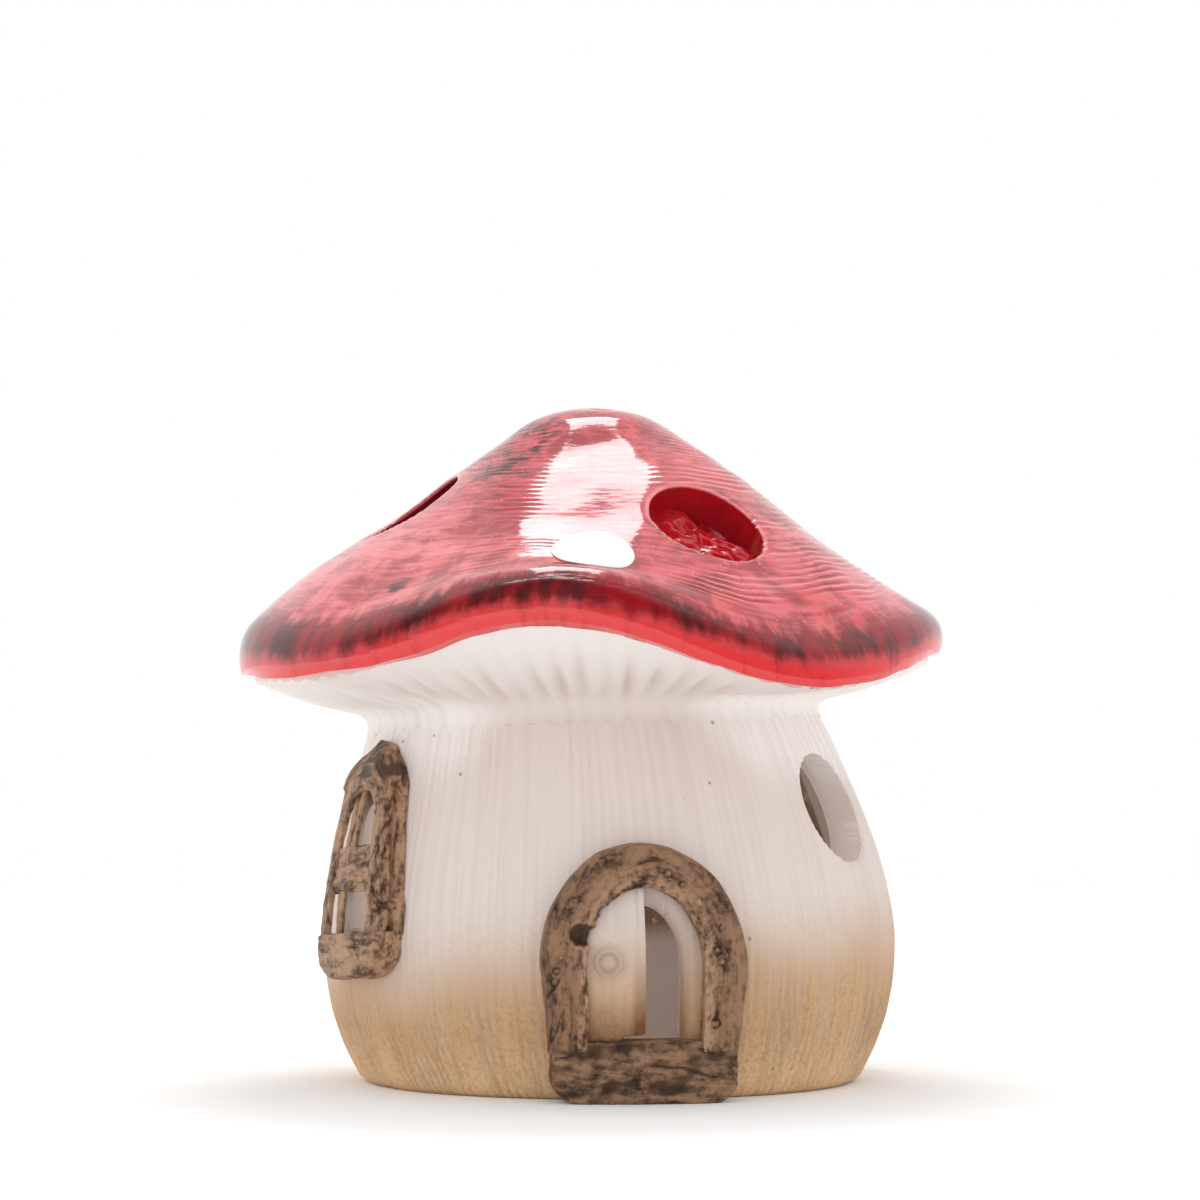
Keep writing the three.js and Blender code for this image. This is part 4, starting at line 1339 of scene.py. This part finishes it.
def lay_on_wall(strip, bearing, follow=None):
    """Bends an upright flat strip round the wall, or round an upright drum of a given radius."""
    points = points_of(strip)
    along, out, height = points[:, 0], -points[:, 1], points[:, 2]
    radius = (stem_radius(height) if follow is None else follow) + out
    reach = np.sqrt(np.maximum(radius**2 - along**2, 0))
    cosine, sine = math.cos(bearing), math.sin(bearing)
    laid = np.column_stack((along * cosine + reach * sine, along * sine - reach * cosine, height))
    set_points(strip, laid)
    lean_over(strip)


# Door


def build_door_frame():
    door = house().door
    half = door.width / 2
    foot = door.step_height - 1.8 * MM
    outer = half + door.band
    outline = arch(outer, foot, door.springing, door.arch_rise + door.band, 48)
    band = slab("arched_door_frame", outline, door.band_thickness, -BEDDED)
    opening = arch(half, 0, door.springing, door.arch_rise, 48)
    cut(band, slab("opening", opening, 3 * door.band_thickness, -door.band))
    softened(band, DOOR_SKIN, 8)
    points = points_of(band)
    low = smooth(points[:, 2], 19 * MM, foot)
    points[:, 0] *= 1 - 0.07 * low * smooth(np.abs(points[:, 0]), half, outer)
    points[:, 0] += 0.35 * MM * clouds(points, (30 * MM, 30 * MM, 6 * MM))
    set_points(band, points)
    groove_points(band, half)
    path = arched_path(half, door.springing, door.arch_rise)
    _, across = path(points_of(band))
    worn = 0.2 + 0.6 * smooth(across, 2.6 * MM, 0.3 * MM)
    # Darker towards the band's outer edge.
    soot_and_shade = 0.1 + 0.4 * smooth(across, 3.4 * MM, 5.4 * MM)
    weather(band, path, 1, worn, FRAME_BLISTERS, FRAME_KNOTS, soot_and_shade=soot_and_shade)
    lay_on_wall(band, door.bearing)
    finish(band, finish_named("bark_clay", bark_clay), "stained_clay", "door_surround")


def groove_points(band, half):
    """Presses a groove up the face of both jambs, near the opening."""
    door = house().door
    points = points_of(band)
    across = np.abs(points[:, 0]) - half - 1.7 * MM
    front = smooth(-points[:, 1], 0.6 * door.band_thickness, 0.9 * door.band_thickness)
    upright = smooth(points[:, 2], door.springing + 1 * MM, door.springing - 3 * MM)
    side = np.where(points[:, 0] < 0, 1, 0.45)
    points[:, 1] += 0.7 * MM * smooth(np.abs(across), 0.75 * MM, 0.1 * MM) * front * upright * side
    set_points(band, points)


def build_threshold():
    door = house().door
    half = door.step_width / 2
    reach = float(stem_radius(door.step_height))
    depth = reach - house().stem.foot_radius
    outline = block(-half + 0.4 * MM, half, 0, door.step_height, 3.2 * MM)
    step = slab("door_step", outline, door.step_thickness + 0.3 * MM, 1.0 * MM - depth)
    softened(step, DOOR_SKIN, 10)
    points = points_of(step)
    soot_and_shade = 0.6 + 0.6 * clouds(points, (18 * MM, 5 * MM, 1.2 * MM))
    weather(step, level_path, 2, worn=0.25, depth=2.0, soot_and_shade=soot_and_shade)
    points = points_of(step)
    points[:, 2] = np.maximum(points[:, 2], 0)
    set_points(step, points)
    lay_on_wall(step, door.bearing, reach)
    finish(step, finish_named("bark_clay", bark_clay), "stained_clay", "door_threshold")


def build_leaf():
    door = house().door
    half = door.width / 2 + 0.5 * MM
    foot = door.step_height - 0.3 * MM
    notch = [(-half, foot), (-3.4 * MM, foot), (-2.6 * MM, foot + 0.9 * MM), (0, foot + 1.1 * MM)]
    side = arc((0, door.springing), (half, door.arch_rise + 0.5 * MM), 90, 180, 24)
    leaf = slab("half_door", [*notch, *side], door.leaf + 0.3 * MM, 0.1 * MM)
    softened(leaf, DOOR_SKIN, 3)
    points = points_of(leaf)
    front = smooth(-points[:, 1], 0.4 * door.leaf, 0.9 * door.leaf)
    furrow = smooth(np.abs(points[:, 0] + 1.2 * MM), 0.4 * MM, 0)
    bead = smooth(points[:, 0], -1.1 * MM, -0.7 * MM) - 0.6 * furrow
    grain = np.abs(clouds(points, (1.2 * MM, 1.2 * MM, 26 * MM)))
    uneven = 0.2 * MM * clouds(points, 6 * MM)
    points[:, 1] -= front * (0.22 * MM * bead - 0.1 * MM * (1 - grain) + uneven)
    set_points(leaf, points)
    low = smooth(points[:, 2], 15 * MM, foot)
    free = smooth(points[:, 0], -2.2 * MM, -0.4 * MM) * smooth(points[:, 2], 21 * MM, 13 * MM)
    at_button = np.hypot(points[:, 0] + door.button_inset, points[:, 2] - door.button_height)
    button_shade_ring = smooth(at_button, 1.7 * door.button_radius, door.button_radius)
    # Brown stain low down and near the free edge, and painted shade in a ring round the button.
    keep_values(leaf, "stain_and_shade", 0.75 * low + 0.5 * free + 0.22 * button_shade_ring)
    keep_vectors(leaf, "grain", points)
    lay_on_wall(leaf, door.bearing)
    finish(leaf, finish_named("leaf_clay", leaf_clay), "cream_clay", "door_leaf")


def build_button():
    """A faint round button on the leaf: a low dome inside a pressed ring."""
    door = house().door
    button = flattened_ball("door_button", door.button_radius, door.button_raise, 48)
    points = points_of(button)
    across = radius_of(points) / door.button_radius
    dish = 0.3 * door.button_raise * smooth(np.abs(across - 0.55), 0.2, 0) * (points[:, 2] > 0)
    seat = door.leaf + 0.2 * MM
    placed = np.column_stack((
        points[:, 0] - door.button_inset, -(seat + points[:, 2] - dish), points[:, 1] + door.button_height
    ))
    set_points(button, placed)
    # An even light stain, with painted shade in the pressed ring.
    keep_values(button, "stain_and_shade", 0.2 + 0.25 * smooth(np.abs(across - 0.6), 0.25, 0))
    keep_vectors(button, "grain", placed)
    edit(button)
    bpy.ops.mesh.normals_make_consistent(inside=False)
    bpy.ops.object.mode_set(mode="OBJECT")
    lay_on_wall(button, door.bearing)
    finish(button, finish_named("leaf_clay", leaf_clay), "cream_clay", "door_boss")


# Windows, hung from the neck down


def window_tip():
    return house().stem.height - house().window.drop


def pane_top():
    return window_tip() - house().window.head


def transom_span():
    window = house().window
    top = pane_top() - window.upper_pane
    return top - window.transom, top


def sill_top():
    return transom_span()[0] - house().window.lower_pane


def flared(drawing):
    """Leans the right side of a window's drawing out, and tips its bars up to the right."""
    window = house().window
    along, height = drawing[:, 0], drawing[:, -1]
    share = np.maximum(along, 0) / (window.width / 2)
    moved = np.array(drawing)
    drop = np.minimum(transom_span()[1] - height, window.flare_drop)
    moved[:, 0] += share * math.tan(window.flare) * drop
    moved[:, -1] += along * math.tan(window.tilt)
    return moved


def finish_window_strip(strip, side, node, path, seed, blisters=(), soot_and_shade=0.0):
    """Makes a strip uneven by hand, weathers it, and lays it on the wall at its window."""
    points = points_of(strip)
    points[:, 0] += 0.3 * MM * clouds(points + seed, (20 * MM, 20 * MM, 4 * MM))
    points[:, 2] += 0.35 * MM * clouds(points + seed + 1, 3.5 * MM)
    points[:, 1] *= 0.85 + 0.15 * smooth(points[:, 0], -6 * MM, 3 * MM)
    set_points(strip, points)
    weather(strip, path, seed, 0.75, blisters, soot_and_shade=soot_and_shade)
    set_points(strip, flared(points_of(strip)))
    lay_on_wall(strip, math.radians(WINDOW_BEARINGS[side]))
    finish(strip, finish_named("bark_clay", bark_clay), "stained_clay", f"{side}_window_{node}")


def layer_sides(frame_body):
    """Presses a groove along the frame's outer sides, and leaves a wider layer against the wall."""
    window = house().window
    points = points_of(frame_body)
    out = -points[:, 1]
    outside = smooth(np.abs(points[:, 0]), window.width / 2 - 1.2 * MM, window.width / 2 - 0.2 * MM)
    upright = smooth(points[:, 2], window_tip() - window.gable, window_tip() - window.gable - 2 * MM)
    moved = 0.6 * smooth(out, 1.3 * MM, 0.8 * MM) - 0.55 * hump(out, 1.35 * MM, 0.3 * MM)
    points[:, 0] += np.sign(points[:, 0]) * MM * moved * outside * upright
    set_points(frame_body, points)


def build_window_frame(side, seed):
    window = house().window
    half = window.width / 2
    foot = sill_top() - 0.6 * MM
    shoulder = window_tip() - window.gable
    head = (shoulder, window_tip() + 0.2 * MM, window.gable_bow, window.tip_shift)
    outline = gable(half, foot, *head)
    body = slab(f"{side}_window_frame", outline, window.thickness, -BEDDED)
    cut(body, slab("opening", pane_outline(0, 32), 3 * window.thickness, -window.thickness))
    rebate_front = window.thickness - 1.1 * MM
    rebate = np.array(pane_outline(-window.rebate, 32))
    rebate[:, 0] -= np.where(rebate[:, 0] < 0, window.stand_off, 0)
    cut(body, slab("rebate", rebate.tolist(), rebate_front, -window.thickness))
    cut(body, slab("foot_opening", block(
        -half + window.jamb, half - window.jamb, foot - 2 * MM, sill_top() + MM
    ), 3 * window.thickness, -window.thickness))
    hood_outline = gable(half + 0.4 * MM, shoulder - 1.2 * MM, *head)
    hood = slab("hood", hood_outline, window.thickness + 0.4 * MM, 0.4 * window.thickness)
    body = joined([body, hood])
    springing = pane_top() - window.pane_arch
    path = arched_path(half - window.jamb, springing, window.pane_arch)
    softened(body, WINDOW_SKIN, 6)
    layer_sides(body)
    points = points_of(body)
    points[:, 1] *= 1 - 0.55 * smooth(points[:, 2], shoulder + 1.0 * MM, window_tip())
    set_points(body, points)
    # Painted shade on the right slope of the head and on the outer right side of the surround.
    roof = smooth(points[:, 2], shoulder - 1.0 * MM, shoulder) * smooth(points[:, 0], -3 * MM, -1 * MM)
    flank = smooth(points[:, 0], half - 1.0 * MM, half - 0.2 * MM) * smooth(-points[:, 1], 0.9 * MM, 1.3 * MM)
    finish_window_strip(body, side, "surround", path, seed, WINDOW_BLISTERS, 0.7 * roof + 0.3 * flank)


def build_window_bars(side, seed):
    window = house().window
    half = window.width / 2 - window.jamb + 0.4 * MM
    low, high = transom_span()
    sill_half = window.width / 2 + window.sill_horn
    outline = block(-sill_half, sill_half, sill_top() - window.sill, sill_top() + 0.1 * MM, 4 * MM)
    ledge = slab(f"{side}_window_ledge", outline, window.sill_thickness, -BEDDED)
    softened(ledge, WINDOW_SKIN, 8)
    finish_window_strip(ledge, side, "sill", level_path, seed + 1)
    crossbar = slab(f"{side}_window_crossbar", block(-half, half, low, high), window.bar + 0.3 * MM, 0.1 * MM)
    softened(crossbar, WINDOW_SKIN, 6)
    finish_window_strip(crossbar, side, "transom", level_path, seed + 2)
    spans = {
        "upper": (window.upper_mullion, high - 0.4 * MM, pane_top() + 0.8 * MM),
        "lower": (window.lower_mullion, sill_top() - 0.4 * MM, low + 0.4 * MM),
    }
    for part, (width, bottom, top) in spans.items():
        left = window.mullion_shift - width / 2
        outline = block(left, left + width, bottom, top)
        upright = slab(f"{side}_window_{part}_bar", outline, window.bar, window.bar - window.upright)
        softened(upright, WINDOW_SKIN, 6)
        finish_window_strip(upright, side, f"{part}_mullion", straight_path, seed + 3)


# Stage


def aim(thing, target):
    thing.rotation_euler = (Vector(target) - thing.location).to_track_quat("-Z", "Y").to_euler()


def add_softbox(name, location, width, depth, radiance, target):
    """A rectangular lamp of even brightness."""
    start_fresh()
    bpy.ops.object.light_add(type="AREA", location=location)
    lamp = bpy.context.object
    lamp.name = name
    lamp.data.shape = "RECTANGLE"
    lamp.data.size = width
    lamp.data.size_y = depth
    lamp.data.energy = radiance * math.pi * width * depth
    aim(lamp, target)


def add_inner_glow(name, location, radius, power):
    """A faint round lamp inside the house, as a tealight, which the camera and gloss don't see."""
    start_fresh()
    bpy.ops.object.light_add(type="POINT", location=location)
    lamp = bpy.context.object
    lamp.name = name
    lamp.data.energy = power
    lamp.data.shadow_soft_size = radius
    lamp.visible_camera = False
    lamp.visible_glossy = False


def add_camera():
    start_fresh()
    bpy.ops.object.camera_add(location=CAMERA_PLACE)
    camera = bpy.context.object
    camera.rotation_euler = (math.radians(90 + CAMERA_PITCH), 0, math.radians(CAMERA_TURN))
    camera.data.sensor_width = SENSOR_WIDTH
    camera.data.lens = SENSOR_WIDTH * FOCAL_PIXELS / PHOTO_PIXELS
    camera.data.clip_start = 0.01
    bpy.context.scene.camera = camera


def seen_directly(nodes):
    """1 for rays that show the background itself: to the camera, in gloss and through glass."""
    rays = nodes.node("ShaderNodeLightPath", {}).outputs
    shown = nodes.maths("MAXIMUM", rays["Is Camera Ray"], rays["Is Glossy Ray"])
    return nodes.maths("MAXIMUM", shown, rays["Is Transmission Ray"])


def add_world():
    world = bpy.data.worlds.new("white_room")
    bpy.context.scene.world = world
    world.use_nodes = True
    nodes = Nodes(world.node_tree)
    background = nodes.tree.nodes["Background"]
    nodes.feed(background.inputs["Color"], (1, 1, 1))
    nodes.feed(background.inputs["Strength"], nodes.span(seen_directly(nodes), 0.95, 1.0))


def add_floor():
    """A pale floor, whose own white grows outwards until it melts into the room."""
    start_fresh()
    bpy.ops.mesh.primitive_circle_add(vertices=96, radius=1.6, fill_type="NGON")
    floor = bpy.context.object
    floor.name = "floor"
    recipe = Recipe("pale_floor")
    outwards = recipe.mask(recipe.length(recipe.place()), 0.06, 0.4)
    glow = recipe.maths("MULTIPLY", seen_directly(recipe), recipe.span(outwards, 0.06, 0.5))
    pale = recipe.done(
        (0.93, 0.93, 0.93), 0.9, Specular_IOR_Level=0.1, Emission_Color=(1, 1, 1), Emission_Strength=glow
    )
    floor.data.materials.append(pale)


def add_dark_curtain():
    """A dark half-round curtain behind the camera, which only gloss sees. It fades into the room."""
    start_fresh()
    bpy.ops.mesh.primitive_cylinder_add(
        vertices=64, radius=0.9, depth=2.8, end_fill_type="NGON", location=(0, 0, 1.15)
    )
    curtain = bpy.context.object
    curtain.name = "dark_curtain"
    edit(curtain)
    bpy.ops.mesh.bisect(plane_co=(0, 0.4, 0), plane_no=(0, 1, 0), clear_outer=True)
    bpy.ops.object.mode_set(mode="OBJECT")
    recipe = Recipe("dark_curtain")
    fade = recipe.mask(recipe.parts(recipe.place())["Y"], -0.35, 0.4)
    dark = recipe.done(
        (0.03, 0.03, 0.03), 1.0, Specular_IOR_Level=0.0, Emission_Color=(1, 1, 1), Emission_Strength=fade
    )
    curtain.data.materials.append(dark)
    curtain.visible_camera = False
    curtain.visible_diffuse = False
    curtain.visible_shadow = False


def build_stage():
    bpy.context.scene.view_settings.view_transform = "Standard"
    add_camera()
    add_world()
    add_floor()
    add_dark_curtain()
    middle = (0, 0, 0.06)
    add_softbox("top_softbox", (0, 0.25, 0.62), 0.22, 0.19, 7.2, middle)
    add_softbox("front_strip", (-0.06, 0.02, 0.6), 0.3, 0.03, 6, (-0.06, -0.04, 0.06))
    add_inner_glow("inner_glow", (-0.016, -0.024, 0.034), 0.007, 0.0075)
    add_inner_glow("floor_glow", (0.006, -0.014, 0.013), 0.006, 0.0022)


# Operators


class TOADSTOOL_OT_stage(bpy.types.Operator):
    """Set up the camera, the pale floor and the soft studio light"""

    bl_idname = "toadstool.stage"
    bl_label = "Stage"

    def execute(self, context):
        build_stage()
        return {"FINISHED"}


class TOADSTOOL_OT_stem(bpy.types.Operator):
    """Turn the bellied stem wall, comb its grain and cut its openings"""

    bl_idname = "toadstool.stem"
    bl_label = "Stem"

    def execute(self, context):
        build_stem()
        return {"FINISHED"}


class TOADSTOOL_OT_gills(bpy.types.Operator):
    """Turn the gill plate and press its grooves"""

    bl_idname = "toadstool.gills"
    bl_label = "Gills"

    def execute(self, context):
        build_gills()
        return {"FINISHED"}


class TOADSTOOL_OT_cap(bpy.types.Operator):
    """Turn the wavy cap, brush its glaze and cut its holes"""

    bl_idname = "toadstool.cap"
    bl_label = "Cap"

    def execute(self, context):
        build_cap()
        return {"FINISHED"}


class TOADSTOOL_OT_spots(bpy.types.Operator):
    """Drop the white glaze spots on the cap"""

    bl_idname = "toadstool.spots"
    bl_label = "Spots"

    def execute(self, context):
        bearing, from_rim = CAP_SPOT
        build_spot("white_spot_front", "cap_spot_front", bearing, from_rim)
        build_spot("white_spot_back", "cap_spot_back", bearing + BACK, from_rim)
        return {"FINISHED"}


class TOADSTOOL_OT_door(bpy.types.Operator):
    """Lay the door surround, threshold, leaf and button on the wall"""

    bl_idname = "toadstool.door"
    bl_label = "Door"

    def execute(self, context):
        build_door_frame()
        build_threshold()
        build_leaf()
        build_button()
        return {"FINISHED"}


class TOADSTOOL_OT_windows(bpy.types.Operator):
    """Lay both windows' surrounds, sills and bars on the wall"""

    bl_idname = "toadstool.windows"
    bl_label = "Windows"

    def execute(self, context):
        for number, side in enumerate(WINDOW_BEARINGS):
            build_window_frame(side, 10 * (number + 1))
            build_window_bars(side, 10 * (number + 1))
        return {"FINISHED"}


class TOADSTOOL_PT_panel(bpy.types.Panel):
    """Sizes, finishes and steps of the toadstool house"""

    bl_label = "Toadstool House"
    bl_idname = "TOADSTOOL_PT_panel"
    bl_space_type = "VIEW_3D"
    bl_region_type = "UI"
    bl_category = "Toadstool"

    def draw(self, context):
        settings = context.scene.toadstool_house
        for step in STEPS:
            self.layout.operator(step.bl_idname)
        for group in settings.bl_rna.properties:
            if group.type != "POINTER" or group.identifier == "rna_type":
                continue
            box = self.layout.box()
            box.label(text=group.identifier.title())
            values = getattr(settings, group.identifier)
            for value in values.bl_rna.properties:
                if not value.is_readonly and value.identifier != "name":
                    box.prop(values, value.identifier)


STEPS = (
    TOADSTOOL_OT_stage,
    TOADSTOOL_OT_stem,
    TOADSTOOL_OT_gills,
    TOADSTOOL_OT_cap,
    TOADSTOOL_OT_spots,
    TOADSTOOL_OT_door,
    TOADSTOOL_OT_windows,
)
GROUPS = (StemSizes, CapSizes, GillSizes, DoorSizes, WindowSizes, Finishes, HouseSettings)


def register():
    for group in (*GROUPS, *STEPS, TOADSTOOL_PT_panel):
        bpy.utils.register_class(group)
    bpy.types.Scene.toadstool_house = PointerProperty(type=HouseSettings)


def unregister():
    del bpy.types.Scene.toadstool_house
    for group in reversed((*GROUPS, *STEPS, TOADSTOOL_PT_panel)):
        bpy.utils.unregister_class(group)


def main():
    register()
    bpy.ops.toadstool.stage()
    bpy.ops.toadstool.stem()
    bpy.ops.toadstool.gills()
    bpy.ops.toadstool.cap()
    bpy.ops.toadstool.spots()
    bpy.ops.toadstool.door()
    bpy.ops.toadstool.windows()


if __name__ == "__main__":
    main()
